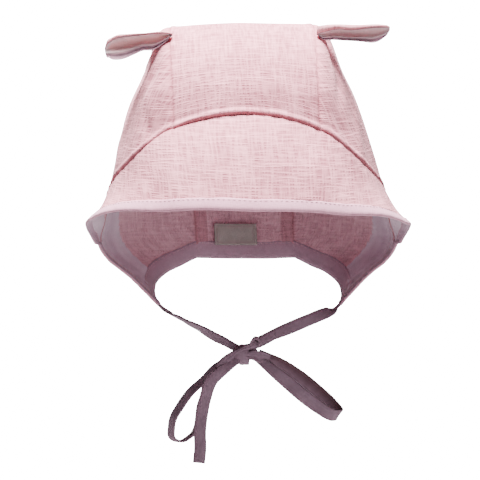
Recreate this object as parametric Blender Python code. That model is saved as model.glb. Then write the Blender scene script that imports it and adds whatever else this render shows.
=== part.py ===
"""Baby sun bonnet with two folded animal ears, tied in a bow.

Metres, +Z up, X to the viewer's right, the face looks along -Y. The origin is the inside of
the crown's top, where a head carries the bonnet. Left and right are the viewer's.
Every cloth panel is a shell: a form function gives its inside face, and the wall is laid
outward from it. Panels that share a seam use the same stations and the same seam normals.
"""
import math

import bmesh
import bpy
import numpy as np

# Cloth, tape and gaps
CLOTH = 0.0014
BRIM_CLOTH = 0.0018
EAR_CLOTH = 0.0016
FACE_TAPE_WIDTH = 0.0065
NECK_TAPE_WIDTH = 0.0080
TAPE_THICK = 0.0024
TIE_WIDTH = 0.0080
TIE_THICK = 0.0016
TIE_START = 0.0040
LABEL_THICK = 0.0010
SEAM_GAP = 0.0003

# Crown strip
CROWN_DEPTH = 0.160
CROWN_HEIGHT = 0.1465
STRIP_WIDTH_TOP = 0.0902
STRIP_WIDTH_FRONT = 0.0876
STRIP_WIDTH_HEM = 0.0660
STRIP_CROWNING = 0.0070
STRIP_DIP = 0.0077
STRIP_DIP_FADE = 0.0500

# Side panels and flaps
FLAP_DROP = 0.1730
SIDE_SWELL = 0.0530
FRONT_SWELL = 0.0100
SEAM_DROP = 0.0985
SEAM_TURN = 0.0120
BRIM_END_DROP = 0.1375
WAIST_BACK_DROP = 0.1100
WAIST_BEND = 1.5
WAIST_TURN = 6
FLAP_SETBACK = 0.0200
DENT_DEPTH = 0.0014

# Brim
BRIM_HALF_WIDTH = 0.1016
BRIM_FORWARD = 0.1120
BRIM_EDGE_DROP = 0.1135
BRIM_ROLL_SHARE = 0.06
BRIM_ROLL_TURN = 0.7
BRIM_TIP = 0.0006
BRIM_WAVE = 0.0010
BRIM_WAVES = 2.5

# How the worn bonnet leans: heights as shares of FLAP_DROP, reach of BRIM_FORWARD
LEAN = 0.0060
LEAN_LAST = 1.3
TOP_RISE = 0.0020
TOP_RISE_DEPTH = 0.5
BRIM_SLANT = 0.0022
BRIM_SLANT_DEPTH = 0.6
BRIM_SLANT_REACH = 0.5
FRONT_SHIFT = 0.0008
FRONT_SHIFT_REACH = 0.6
FRONT_SHIFT_DEPTH = 0.38
FRONT_SHIFT_FADE = 0.26

# Ears: the left one droops, the right one stands out level
EAR_LENGTH = 0.0405
EAR_HEIGHT = 0.0140
EAR_CUP = 0.0120
EAR_FORWARD = 0.0400
EAR_LEAN_OUT = 0.0060
EAR_FOLD = 0.0030
EAR_CLEAR = 1.42
EAR_ARC = 100.0

# Label inside the back
LABEL_WIDTH = 0.0285
LABEL_HEIGHT = 0.0145
LABEL_ABOVE_HEM = 0.0010
LABEL_SHIFT = -0.0060

# Bow
KNOT_SIDE = 0.0038
KNOT_FORWARD = 0.0200
KNOT_DROP = 0.2050
KNOT_WIDTH = 0.0165
KNOT_HEIGHT = 0.0145
KNOT_DEPTH = 0.0110
KNOT_ROUND = 0.8
TIE_SEAT = 0.0012
STRAND_SEAT = 0.0007
BOW_SPAN = 0.0600
BOW_DEPTH = 0.0100
BOW_FALL = 0.0720

# Edges sharper than this many degrees stay crisp
SHARP_ANGLE = 50.0

# Stations: how many steps each grid takes
STRIP_STEPS_ACROSS = 6
SIDE_STEPS_QUARTER = 9
DOME_ROWS = 10
DOME_SPREAD = 1.6
FLAP_ROWS = 9
BRIM_END_ROW = 4
BRIM_ROWS = 5
EAR_STEPS_LONG = 10
EAR_STEPS_ROUND = 10
TIE_STEPS = 16
LOOP_STEPS = 26
TAIL_LEFT_STEPS = 16
TAIL_RIGHT_STEPS = 10

# Crown strip from brim seam to hem:
# place, y share of CROWN_DEPTH, z share of CROWN_HEIGHT, crowning share of STRIP_CROWNING
STRIP_PROFILE = (
    ("brim corner", -0.487, -0.432, 1.00),
    ("forehead", -0.428, -0.235, 0.80),
    ("front top", -0.300, -0.080, 0.45),
    ("top front", -0.120, -0.008, 0.22),
    ("top", 0.020, 0.000, 0.20),
    ("top back", 0.190, -0.035, 0.30),
    ("crown back", 0.360, -0.155, 0.60),
    ("head back", 0.475, -0.350, 0.80),
    ("fullest", 0.522, -0.590, 1.00),
    ("nape", 0.518, -0.810, 1.00),
    ("hem", 0.488, -1.000, 0.90),
)

# Half section of a side panel by depth below the top corner of the strip:
# place, root of the depth share of FLAP_DROP, reach past the strip as a share of SIDE_SWELL
SIDE_REACH = (
    ("top corner", 0.000, 0.000),
    ("ear seam", 0.170, 0.135),
    ("shoulder", 0.260, 0.187),
    ("over ear", 0.410, 0.307),
    ("temple", 0.510, 0.455),
    ("ear", 0.670, 0.645),
    ("seam side", 0.777, 0.779),
    ("cheek", 0.850, 0.883),
    ("widest", 0.893, 0.937),
    ("turn", 0.925, 0.845),
    ("flap", 0.960, 0.600),
    ("tie corner", 1.000, 0.355),
)

# Soft dents of a side panel: place, turn share from front to back seam, height share of
# FLAP_DROP, depth share of DENT_DEPTH, spread
DENTS = (
    ("under the ear", 0.36, 0.28, 0.70, 0.10),
    ("behind the ear", 0.62, 0.50, 1.00, 0.13),
    ("above the nape", 0.82, 0.74, 0.80, 0.10),
)

# Hem of a side panel from the strip's seam to the tie corner:
# place, share of the quarter turn, share of the drop
HEM_LINE = (
    ("back seam", 0.00, 0.00),
    ("back", 0.15, 0.20),
    ("side back", 0.30, 0.34),
    ("behind ear", 0.50, 0.54),
    ("flap", 0.75, 0.80),
    ("tie corner", 1.00, 1.00),
)

# Brim edge from the front centre to its end:
# place, x share of BRIM_HALF_WIDTH, y share of BRIM_FORWARD, z share of BRIM_EDGE_DROP
BRIM_EDGE = (
    ("centre", 0.000, -1.000, -0.987),
    ("front", 0.200, -0.983, -0.989),
    ("front side", 0.400, -0.925, -0.995),
    ("quarter", 0.630, -0.808, -1.012),
    ("side front", 0.840, -0.600, -1.045),
    ("side", 0.955, -0.375, -1.085),
    ("outermost", 1.000, -0.165, -1.125),
    ("curl", 0.991, -0.065, -1.175),
    ("end", 0.955, -0.010, -1.222),
)

# Ear from its seam to its tip:
# place, share of EAR_LENGTH, height share of EAR_HEIGHT, cup share of EAR_CUP, droop share
EAR_FORM = (
    ("seam", 0.00, 0.35, 0.75, 0.00),
    ("shoulder", 0.16, 0.55, 0.95, 0.00),
    ("fold", 0.34, 0.74, 1.00, 0.00),
    ("middle", 0.55, 0.90, 1.00, 0.02),
    ("full", 0.76, 1.00, 0.85, 0.08),
    ("round", 0.91, 0.76, 0.55, 0.42),
    ("tip", 1.00, 0.30, 0.20, 1.00),
)
# Each ear: name, side, length share, height share, lift of its top edge as a share of
# EAR_HEIGHT, droop share
EARS = (
    ("ear_left", -1, 0.95, 1.00, -0.26, 0.62),
    ("ear_right", 1, 1.09, 0.62, -0.14, 0.14),
)

# Ties past their sewn start: share of the way to the knot, width share, width direction
TIE_LEFT = (
    ("slope", 0.12, 1.00, -0.3, -0.80, 0.3),
    ("middle", 0.55, 1.00, -0.2, -0.75, 0.5),
    ("knot", 1.00, 0.55, -0.3, -0.6, 0.5),
)
TIE_RIGHT = (
    ("fold", 0.10, 1.00, 0.2, -0.65, -0.65),
    ("broad", 0.28, 1.00, 0.35, -0.1, -0.93),
    ("middle", 0.65, 1.00, 0.35, 0.0, -0.94),
    ("knot", 1.00, 0.65, 0.35, 0.0, -0.94),
)
# Where each tie meets the knot, as a share of the knot's height above its middle
TIE_LEFT_RISE = 0.15
TIE_RIGHT_RISE = 0.40

# Bow strands from the knot's middle: place, x share of BOW_SPAN, y share of BOW_DEPTH,
# z share of BOW_FALL, width share, width direction
LOOP_LEFT = (
    ("knot front", -0.150, -0.15, -0.050, 0.50, 0.1, 0.8, -0.6),
    ("out", -0.290, -0.10, -0.120, 0.80, -0.3, 0.8, 0.4),
    ("slope", -0.450, -0.05, -0.240, 1.00, -0.4, 0.85, 0.3),
    ("lower slope", -0.604, 0.00, -0.370, 1.00, -0.5, 0.85, 0.2),
    ("side", -0.735, 0.00, -0.510, 1.00, -0.5, 0.85, 0.2),
    ("low side", -0.805, 0.05, -0.660, 1.00, -0.5, 0.85, 0.0),
    ("turn", -0.795, 0.20, -0.780, 1.00, -0.5, 0.85, -0.1),
    ("bottom", -0.700, 0.40, -0.815, 1.00, -0.4, 0.9, -0.1),
    ("rise", -0.590, 0.60, -0.760, 1.00, -0.3, 0.9, 0.0),
    ("behind", -0.530, 0.75, -0.620, 1.00, -0.3, 0.9, 0.1),
    ("return", -0.470, 0.80, -0.420, 1.00, -0.3, 0.9, 0.2),
    ("knot back", -0.130, 0.62, -0.110, 0.45, 0.0, 0.9, 0.4),
)
LOOP_RIGHT = (
    ("knot front", 0.130, -0.62, -0.085, 0.60, 0.6, 0.0, 0.8),
    ("out", 0.335, -1.00, -0.215, 1.00, 0.6, 0.0, 0.8),
    ("slope", 0.545, -1.10, -0.365, 1.05, 0.6, 0.0, 0.8),
    ("low slope", 0.735, -1.05, -0.485, 1.05, 0.6, 0.0, 0.8),
    ("near tip", 0.890, -0.85, -0.560, 1.00, 0.6, 0.0, 0.8),
    ("tip", 0.960, -0.40, -0.560, 1.00, 0.6, 0.0, 0.8),
    ("past tip", 0.885, 0.10, -0.480, 1.00, 0.6, 0.0, 0.8),
    ("back", 0.735, 0.35, -0.365, 1.00, 0.6, 0.0, 0.8),
    ("back slope", 0.550, 0.40, -0.240, 1.00, 0.6, 0.0, 0.8),
    ("back in", 0.350, 0.25, -0.120, 0.80, 0.6, 0.0, 0.8),
    ("knot back", 0.165, 0.00, -0.020, 0.45, 0.6, 0.0, 0.8),
)
TAIL_LEFT = (
    ("knot", -0.120, -0.66, -0.100, 0.50, 0.6, 0.0, -0.8),
    ("out", -0.265, -0.95, -0.160, 0.85, 0.8, 0.0, -0.6),
    ("turn", -0.385, -0.95, -0.250, 1.00, 1.0, 0.1, -0.3),
    ("upper", -0.450, -0.90, -0.400, 1.00, 1.0, 0.1, -0.1),
    ("middle", -0.488, -0.85, -0.553, 1.00, 1.0, 0.0, -0.1),
    ("lower", -0.507, -0.85, -0.700, 1.00, 1.0, -0.1, 0.0),
    ("low", -0.505, -0.90, -0.850, 1.00, 1.0, -0.1, 0.0),
    ("end", -0.520, -0.95, -0.975, 1.00, 1.0, 0.0, 0.0),
)
TAIL_RIGHT = (
    ("knot", 0.125, 0.62, -0.070, 0.50, 0.6, 0.1, 0.8),
    ("out", 0.300, 0.95, -0.190, 0.90, 0.6, 0.1, 0.8),
    ("slope", 0.480, 1.15, -0.320, 1.00, 0.6, 0.1, 0.8),
    ("end", 0.660, 1.20, -0.460, 1.00, 0.6, 0.1, 0.8),
)

# Sections of the sewn tape and of the ribbon: width share, thickness share
TAPE_SECTION = ((0.0, -0.42), (0.12, -0.5), (0.85, -0.5), (1.0, -0.22))
RIBBON_SECTION = ((-0.5, -0.30), (-0.42, -0.5), (0.42, -0.5), (0.5, -0.30))

COLOURS = {
    "linen": (0.80, 0.64, 0.69, 1.0),
    "brim_linen": (0.81, 0.66, 0.70, 1.0),
    "tape": (0.84, 0.73, 0.77, 1.0),
    "ear_linen": (0.80, 0.58, 0.60, 1.0),
    "tie_tape": (0.62, 0.50, 0.57, 1.0),
    "label_cloth": (0.72, 0.69, 0.67, 1.0),
}


class SmoothCurve:
    """A smooth curve through a few rows, read by its share of length from 0 to 1.

    Its length is measured in the first columns.
    """

    def __init__(self, rows, measured=3, samples=600):
        rows = np.array(rows, float)
        steps = np.diff(rows[:, :measured], axis=0)
        knots = np.concatenate(([0.0], np.cumsum(np.linalg.norm(steps, axis=1))))
        slopes = np.gradient(rows, knots, axis=0)
        at = np.linspace(0.0, knots[-1], samples)
        part = np.clip(np.searchsorted(knots, at, side="right") - 1, 0, len(knots) - 2)
        step = (knots[part + 1] - knots[part])[:, None]
        t = (at - knots[part])[:, None] / step
        self.points = (
            (2 * t**3 - 3 * t**2 + 1) * rows[part]
            + (t**3 - 2 * t**2 + t) * step * slopes[part]
            + (3 * t**2 - 2 * t**3) * rows[part + 1]
            + (t**3 - t**2) * step * slopes[part + 1]
        )
        run = np.cumsum(np.linalg.norm(np.diff(self.points[:, :measured], axis=0), axis=1))
        self.length = float(run[-1])
        self.shares = np.concatenate(([0.0], run)) / run[-1]

    def at(self, share):
        """The point at a share of the length."""
        return np.array([np.interp(share, self.shares, c) for c in self.points.T])

    def direction(self, share, reach=0.004):
        """The unit direction of travel at a share of the length."""
        ahead = self.at(min(share + reach, 1.0)) - self.at(max(share - reach, 0.0))
        return ahead / np.linalg.norm(ahead)


class SmoothTable:
    """A smooth value read off a short table by its first column."""

    def __init__(self, at, values):
        self.at = np.array(at, float)
        self.values = np.array(values, float)
        self.slopes = np.gradient(self.values, self.at)

    def value(self, place):
        place = min(max(place, self.at[0]), self.at[-1])
        i = min(int(np.searchsorted(self.at, place, side="right")) - 1, len(self.at) - 2)
        step = self.at[i + 1] - self.at[i]
        t = (place - self.at[i]) / step
        return (
            (2 * t**3 - 3 * t**2 + 1) * self.values[i]
            + (t**3 - 2 * t**2 + t) * step * self.slopes[i]
            + (3 * t**2 - 2 * t**3) * self.values[i + 1]
            + (t**3 - t**2) * step * self.slopes[i + 1]
        )


def unit(vector):
    """The vector at length one, or rows of vectors each at length one."""
    vector = np.asarray(vector, float)
    return vector / np.linalg.norm(vector, axis=-1, keepdims=True)


def ease(share):
    """A smooth step from 0 to 1."""
    share = min(max(share, 0.0), 1.0)
    return share * share * (3.0 - 2.0 * share)


def worn(point):
    """Where a point of the even bonnet goes in the worn one: it leans and slants a little."""
    x, y, z = point
    below = min(max(-z / FLAP_DROP, 0.0), LEAN_LAST)
    forward = min(max(-y / BRIM_FORWARD, 0.0), 1.0)
    side = x / BRIM_HALF_WIDTH
    lift = TOP_RISE * side * (1.0 - ease(below / TOP_RISE_DEPTH))
    sink = BRIM_SLANT * side * ease(below / BRIM_SLANT_DEPTH) * ease(forward / BRIM_SLANT_REACH)
    fade = 1.0 - ease((below - FRONT_SHIFT_DEPTH) / FRONT_SHIFT_FADE)
    shift = LEAN * below - FRONT_SHIFT * ease(forward / FRONT_SHIFT_REACH) * fade
    return np.array((x + shift, y, z + lift - sink))


# Crown strip form
STRIP_LINE = SmoothCurve([(y * CROWN_DEPTH, z * CROWN_HEIGHT) for _, y, z, _ in STRIP_PROFILE])
STRIP_ROWS_AT = np.array([
    STRIP_LINE.shares[np.argmin(np.linalg.norm(
        STRIP_LINE.points - (y * CROWN_DEPTH, z * CROWN_HEIGHT), axis=1))]
    for _, y, z, _ in STRIP_PROFILE
])
TOP_SHARE = float(STRIP_LINE.shares[np.argmax(STRIP_LINE.points[:, 1])])


def strip_half_width(share):
    """Half width of the strip: nearly even in front, tapering down the back."""
    if share < TOP_SHARE:
        front = ease(share / TOP_SHARE)
        return 0.5 * (STRIP_WIDTH_FRONT + (STRIP_WIDTH_TOP - STRIP_WIDTH_FRONT) * front)
    back = ease((share - TOP_SHARE) / (1.0 - TOP_SHARE))
    return 0.5 * (STRIP_WIDTH_TOP + (STRIP_WIDTH_HEM - STRIP_WIDTH_TOP) * back)


def strip_point(share, across):
    """Inside face of the strip; across runs from -1 at the left seam to 1 at the right."""
    y, z = STRIP_LINE.at(share)
    dy, dz = STRIP_LINE.direction(share)
    crowning = STRIP_CROWNING * np.interp(share, STRIP_ROWS_AT, [r[3] for r in STRIP_PROFILE])
    sink = crowning * across * across
    return np.array((across * strip_half_width(share), y + dz * sink, z - dy * sink))


def strip_share(share, across):
    """The strip's front edge dips to its corners, so rows near it arch over the middle."""
    dip = STRIP_DIP / STRIP_LINE.length
    fade = max(1.0 - share * STRIP_LINE.length / STRIP_DIP_FADE, 0.0)
    return share + dip * (1.0 - across * across) * fade


# Heights along the strip's right seam, in front of and behind its top
SEAM_SHARES = np.linspace(0.0, 1.0, 500)
SEAM_POINTS = np.array([strip_point(s, 1.0) for s in SEAM_SHARES])
SEAM_TOP = int(np.argmax(SEAM_POINTS[:, 2]))
TOP_Z = float(SEAM_POINTS[SEAM_TOP, 2])
FRONT_Z = float(SEAM_POINTS[0, 2])
HEM_Z = float(SEAM_POINTS[-1, 2])


def seam_share(z, front):
    """The strip's share where its seam has height z."""
    if front:
        return float(np.interp(z, SEAM_POINTS[:SEAM_TOP + 1, 2], SEAM_SHARES[:SEAM_TOP + 1]))
    back = slice(SEAM_TOP, None)
    return float(np.interp(-z, -SEAM_POINTS[back, 2], SEAM_SHARES[back]))


def seam_place(z, front):
    """x and y of the strip's seam at height z, carried on below its ends."""
    x, y, _ = strip_point(seam_share(z, front), 1.0)
    if front and z < FRONT_Z:
        below = (FRONT_Z - z) / (FRONT_Z + SEAM_DROP)
        y -= FRONT_SWELL * math.sin(0.5 * math.pi * min(below, 1.0))
    if not front and z < HEM_Z:
        end = STRIP_LINE.direction(1.0)
        y += (z - HEM_Z) * end[0] / end[1]
    return x, y


# Side panel form
REACH_CURVE = SmoothTable([row[1] for row in SIDE_REACH], [row[2] for row in SIDE_REACH])
HEM_CURVE = SmoothTable([row[1] for row in HEM_LINE], [row[2] for row in HEM_LINE])


def half_width(z):
    """Half width of the bonnet at height z."""
    root = math.sqrt(min(max((TOP_Z - z) / (TOP_Z + FLAP_DROP), 0.0), 1.0))
    return 0.5 * STRIP_WIDTH_TOP + SIDE_SWELL * float(REACH_CURVE.value(root))


def widest_y(z):
    """y of the widest line of a side panel; it runs back down the flap's front edge."""
    top_y = SEAM_POINTS[SEAM_TOP, 1]
    flap = ease((-z - SEAM_DROP) / (FLAP_DROP - SEAM_DROP))
    return top_y * (1.0 - ease((TOP_Z - z) / SEAM_DROP)) + FLAP_SETBACK * flap


def side_point(turn, z):
    """Inside face of the right side panel: turn is 0 at the front seam, pi at the back."""
    x, y = seam_place(z, turn <= 0.5 * math.pi)
    middle = widest_y(z)
    dent = 0.0
    for _, at_turn, at_height, depth, spread in DENTS:
        away = math.hypot(turn / math.pi - at_turn, -z / FLAP_DROP - at_height) / spread
        dent += depth * DENT_DEPTH * math.exp(-away * away)
    out = (half_width(z) - x - dent) * math.sin(turn)
    return np.array((x + out, middle + (y - middle) * abs(math.cos(turn)), z))


def waist_z(turn):
    """Height of the row that follows the brim seam in front and crosses behind."""
    bend = math.sin(turn) ** WAIST_BEND
    if turn <= 0.5 * math.pi:
        turned = SEAM_TURN * (turn / (0.5 * math.pi)) ** WAIST_TURN
        return FRONT_Z + (-SEAM_DROP - FRONT_Z) * bend - turned
    return -WAIST_BACK_DROP + (WAIST_BACK_DROP - SEAM_DROP - SEAM_TURN) * bend


def hem_z(turn):
    """Height of the panel's lower edge, from the tie corner back to the strip."""
    forward = (math.pi - turn) / (0.5 * math.pi)
    return HEM_Z + (-FLAP_DROP - HEM_Z) * float(HEM_CURVE.value(forward))


class Grid:
    """Points, face quads and normals of one cloth panel's inside face."""

    def __init__(self):
        self.points = []
        self.faces = []
        self.index = {}

    def add(self, key, point):
        self.index[key] = len(self.points)
        self.points.append(point)

    def face(self, *keys):
        corners = []
        for key in keys:
            if self.index[key] not in corners:
                corners.append(self.index[key])
        self.faces.append(corners)

    def finish(self):
        """Area-weighted normals at the points."""
        self.points = np.array(self.points)
        self.normals = np.zeros_like(self.points)
        for corners in self.faces:
            ring = self.points[corners]
            after = np.roll(ring, -1, axis=0)
            self.normals[corners] += np.cross(ring, after).sum(axis=0)
        self.normals = unit(self.normals)

    def point(self, key):
        return self.points[self.index[key]]

    def normal(self, key):
        return self.normals[self.index[key]]


def strip_grid(front_shares, back_shares):
    """The strip, with its seams half a gap inside the seam lines."""
    grid = Grid()
    shares = list(reversed(front_shares)) + list(back_shares[1:])
    steps = STRIP_STEPS_ACROSS
    for j, share in enumerate(shares):
        for i in range(steps + 1):
            across = 2.0 * i / steps - 1.0
            point = strip_point(strip_share(share, across), across)
            point[0] -= 0.5 * SEAM_GAP * across
            grid.add((i, j), point)
    for j in range(len(shares) - 1):
        for i in range(steps):
            grid.face((i, j), (i + 1, j), (i + 1, j + 1), (i, j + 1))
    grid.finish()
    return grid


def dome_height(turn, row):
    """Height of a dome row at a turn: rows lie closer near the top corner."""
    return TOP_Z + (waist_z(turn) - TOP_Z) * (row / DOME_ROWS) ** DOME_SPREAD


def side_grid():
    """The right side panel: a dome down to the waist row, then the flap behind it."""
    grid = Grid()
    quarter = SIDE_STEPS_QUARTER
    turns = [0.5 * math.pi * i / quarter for i in range(2 * quarter + 1)]
    shift = np.array((0.5 * SEAM_GAP, 0.0, 0.0))
    grid.add("top", side_point(0.0, TOP_Z) + shift)
    for i, turn in enumerate(turns):
        grid.index[(i, 0)] = grid.index["top"]
        for j in range(1, DOME_ROWS + 1):
            grid.add((i, j), side_point(turn, dome_height(turn, j)) + shift)
    for i in range(quarter, 2 * quarter + 1):
        for j in range(1, FLAP_ROWS + 1):
            start, end = waist_z(turns[i]), hem_z(turns[i])
            side_drop = SEAM_DROP + SEAM_TURN
            share = (BRIM_END_DROP - side_drop) / (FLAP_DROP - side_drop)
            brim_end = start + (end - start) * share
            if j <= BRIM_END_ROW:
                z = start + (brim_end - start) * j / BRIM_END_ROW
            else:
                z = brim_end + (end - brim_end) * (j - BRIM_END_ROW) / (FLAP_ROWS - BRIM_END_ROW)
            grid.add((i, DOME_ROWS + j), side_point(turns[i], z) + shift)
    for j in range(DOME_ROWS):
        for i in range(2 * quarter):
            grid.face((i, j), (i, j + 1), (i + 1, j + 1), (i + 1, j))
    for j in range(DOME_ROWS, DOME_ROWS + FLAP_ROWS):
        for i in range(quarter, 2 * quarter):
            grid.face((i, j), (i, j + 1), (i + 1, j + 1), (i + 1, j))
    grid.finish()
    return grid


def seam_keys():
    """Keys of the right side panel along the brim seam, from the strip to the brim's end."""
    keys = [(i, DOME_ROWS) for i in range(SIDE_STEPS_QUARTER + 1)]
    return keys + [(SIDE_STEPS_QUARTER, DOME_ROWS + j) for j in range(1, BRIM_END_ROW + 1)]


def flap_keys():
    """Keys of the right side panel down the flap's front edge, below the brim's end."""
    rows = range(DOME_ROWS + BRIM_END_ROW, DOME_ROWS + FLAP_ROWS + 1)
    return [(SIDE_STEPS_QUARTER, j) for j in rows]


def brim_grid(strip, side):
    """The whole brim: ribs from the brim seam to the tape along its edge."""
    half = STRIP_STEPS_ACROSS // 2
    front = [strip.point((half + i, 0)) for i in range(half)]
    seam = front + [side.point(key) for key in seam_keys()]
    run = np.concatenate(([0.0], np.cumsum(np.linalg.norm(np.diff(seam, axis=0), axis=1))))
    edge = SmoothCurve([
        (x * BRIM_HALF_WIDTH, y * BRIM_FORWARD, z * BRIM_EDGE_DROP) for _, x, y, z in BRIM_EDGE
    ])
    grid = Grid()
    ribs = []
    for start, share in zip(seam, run / run[-1]):
        end = edge.at(share)
        along = unit(end - start)
        length = np.linalg.norm(end - start) - FACE_TAPE_WIDTH - 2.0 * SEAM_GAP
        length = max(length, BRIM_TIP)
        swell = np.array((along[0], along[1], 0.0))
        outward = unit(np.cross(np.cross(along, swell), along))
        ribs.append((start + along * SEAM_GAP, along * length, outward))
    count = len(ribs)
    for side_sign in (-1, 1):
        for i in range(count):
            if side_sign == -1 and i == 0:
                continue
            start, way, outward = ribs[i]
            along = i / (count - 1)
            roll = BRIM_ROLL_SHARE * (1.0 - 2.0 * ease(along / BRIM_ROLL_TURN)) * np.linalg.norm(way)
            wave = BRIM_WAVE * math.sin(2.0 * math.pi * BRIM_WAVES * along) * (1.0 - along) ** 0.5
            for j in range(BRIM_ROWS + 1):
                share = j / BRIM_ROWS
                lift = roll * math.sin(math.pi * share) + wave * share * share
                point = start + way * share + outward * lift
                grid.add((side_sign * i, j), point * (side_sign, 1.0, 1.0))
    for i in range(1 - count, count - 1):
        for j in range(BRIM_ROWS):
            grid.face((i, j + 1), (i + 1, j + 1), (i + 1, j), (i, j))
    grid.finish()
    return grid, count - 1


def share_normals(pairs):
    """Give both sides of a seam the mean of their normals."""
    for group in pairs:
        mean = unit(sum(grid.normal(key) for grid, key in group))
        for grid, key in group:
            grid.normals[grid.index[key]] = mean


def new_object(name, points, faces, material):
    """A mesh object from points of the even bonnet, closed and facing outward."""
    shape = bmesh.new()
    verts = [shape.verts.new(tuple(point)) for point in points]
    for corners in faces:
        shape.faces.new([verts[i] for i in corners])
    bmesh.ops.recalc_face_normals(shape, faces=shape.faces)
    mesh = bpy.data.meshes.new(name)
    shape.to_mesh(mesh)
    shape.free()
    mesh.shade_smooth()
    mesh.set_sharp_from_angle(angle=math.radians(SHARP_ANGLE))
    mesh.materials.append(material)
    thing = bpy.data.objects.new(name, mesh)
    bpy.context.scene.collection.objects.link(thing)
    return thing


def shell(name, grid, thick, material, mirrored=False):
    """A panel's wall: its inside face, the same face laid outward, and the rim between."""
    sign = np.array((-1.0, 1.0, 1.0)) if mirrored else np.ones(3)
    inner = grid.points * sign
    outer = (grid.points + grid.normals * thick) * sign
    count = len(inner)
    faces = []
    edges = {}
    for corners in grid.faces:
        faces.append([c + count for c in corners])
        faces.append(list(reversed(corners)))
        for a, b in zip(corners, corners[1:] + corners[:1]):
            edges[(a, b)] = True
    for a, b in edges:
        if (b, a) not in edges:
            faces.append([b + count, a + count, a, b])
    points = [worn(point) for point in np.concatenate((inner, outer))]
    return new_object(name, points, faces, material)


def tape(name, stations, width, thick, material):
    """A flat sewn tape: stations are its inner line, its way out and its normal."""
    section = TAPE_SECTION + tuple((a, -b) for a, b in reversed(TAPE_SECTION))
    points = []
    for inner, way, normal in stations:
        for across, lift in section:
            points.append(worn(inner + way * width * across + normal * thick * lift))
    return new_object(name, points, tube_faces(len(stations), len(section)), material)


def tube_faces(rings, sides):
    """Quads of a tube of rings, with both ends closed by quads and triangles."""
    faces = [list(range(sides)), [(rings - 1) * sides + i for i in reversed(range(sides))]]
    for j in range(rings - 1):
        for i in range(sides):
            k = (i + 1) % sides
            faces.append([j * sides + i, (j + 1) * sides + i, (j + 1) * sides + k, j * sides + k])
    return faces


def face_tape_stations(brim, rib, side):
    """The face tape's right half: along the brim's edge, then down the flap's front edge."""
    stations = []
    for i in range(rib + 1):
        way = unit(brim.point((i, BRIM_ROWS)) - brim.point((i, BRIM_ROWS - 1)))
        normal = brim.normal((i, BRIM_ROWS))
        inner = brim.point((i, BRIM_ROWS)) + normal * 0.5 * BRIM_CLOTH + way * SEAM_GAP
        stations.append((inner, way, normal))
    keys = flap_keys()
    for above, key in zip(keys, keys[1:]):
        along = unit(side.point(key) - side.point(above))
        forward = np.array((0.0, -1.0, 0.0))
        way = unit(forward - along * along.dot(forward))
        normal = side.normal(key)
        inner = side.point(key) + normal * 0.5 * CLOTH + way * SEAM_GAP
        stations.append((inner, way, normal))
    inner, way, normal = stations[-1]
    for share in (0.5, 1.0):
        stations.append((inner + along * share * (NECK_TAPE_WIDTH + SEAM_GAP), way, normal))
    return stations, along


def neck_tape_stations(side, strip):
    """The neck tape's right half, from the tie corner to the back's middle."""
    last = DOME_ROWS + FLAP_ROWS
    stations = []
    for i in range(SIDE_STEPS_QUARTER, 2 * SIDE_STEPS_QUARTER + 1):
        way = unit(side.point((i, last)) - side.point((i, last - 1)))
        normal = side.normal((i, last))
        inner = side.point((i, last)) + normal * 0.5 * CLOTH + way * SEAM_GAP
        stations.append((inner, way, normal))
    end = 2 * DOME_ROWS + FLAP_ROWS
    for i in range(STRIP_STEPS_ACROSS - 1, STRIP_STEPS_ACROSS // 2 - 1, -1):
        way = unit(strip.point((i, end)) - strip.point((i, end - 1)))
        normal = strip.normal((i, end))
        inner = strip.point((i, end)) + normal * 0.5 * CLOTH + way * SEAM_GAP
        stations.append((inner, way, normal))
    return stations


def both_halves(stations, middle_first):
    """Right-half stations carried on over the middle to the left half."""
    mirror = np.array((-1.0, 1.0, 1.0))
    left = [tuple(part * mirror for part in station) for station in stations]
    if middle_first:
        return list(reversed(left[1:])) + stations
    return stations + list(reversed(left[:-1]))


def shoulder_z(x, y, clear):
    """Height over the side panel at x and y, kept clear of its inside face."""
    heights = TOP_Z - (TOP_Z + SEAM_DROP) * np.linspace(0.0, 1.0, 200) ** 2
    line = []
    for z in heights:
        seam_x, seam_y = seam_place(z, True)
        middle = widest_y(z)
        forward = min(abs((y - middle) / (seam_y - middle - SEAM_GAP)), 1.0)
        out = (half_width(z) - seam_x) * math.sqrt(1.0 - forward * forward)
        if y > seam_y:
            line.append((seam_x + out, z))
    line = np.array(line)
    along = unit(np.gradient(line, axis=0))
    away = line + clear * np.stack((-along[:, 1], along[:, 0]), axis=1)
    return float(np.interp(x, away[:, 0], away[:, 1]))


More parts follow.
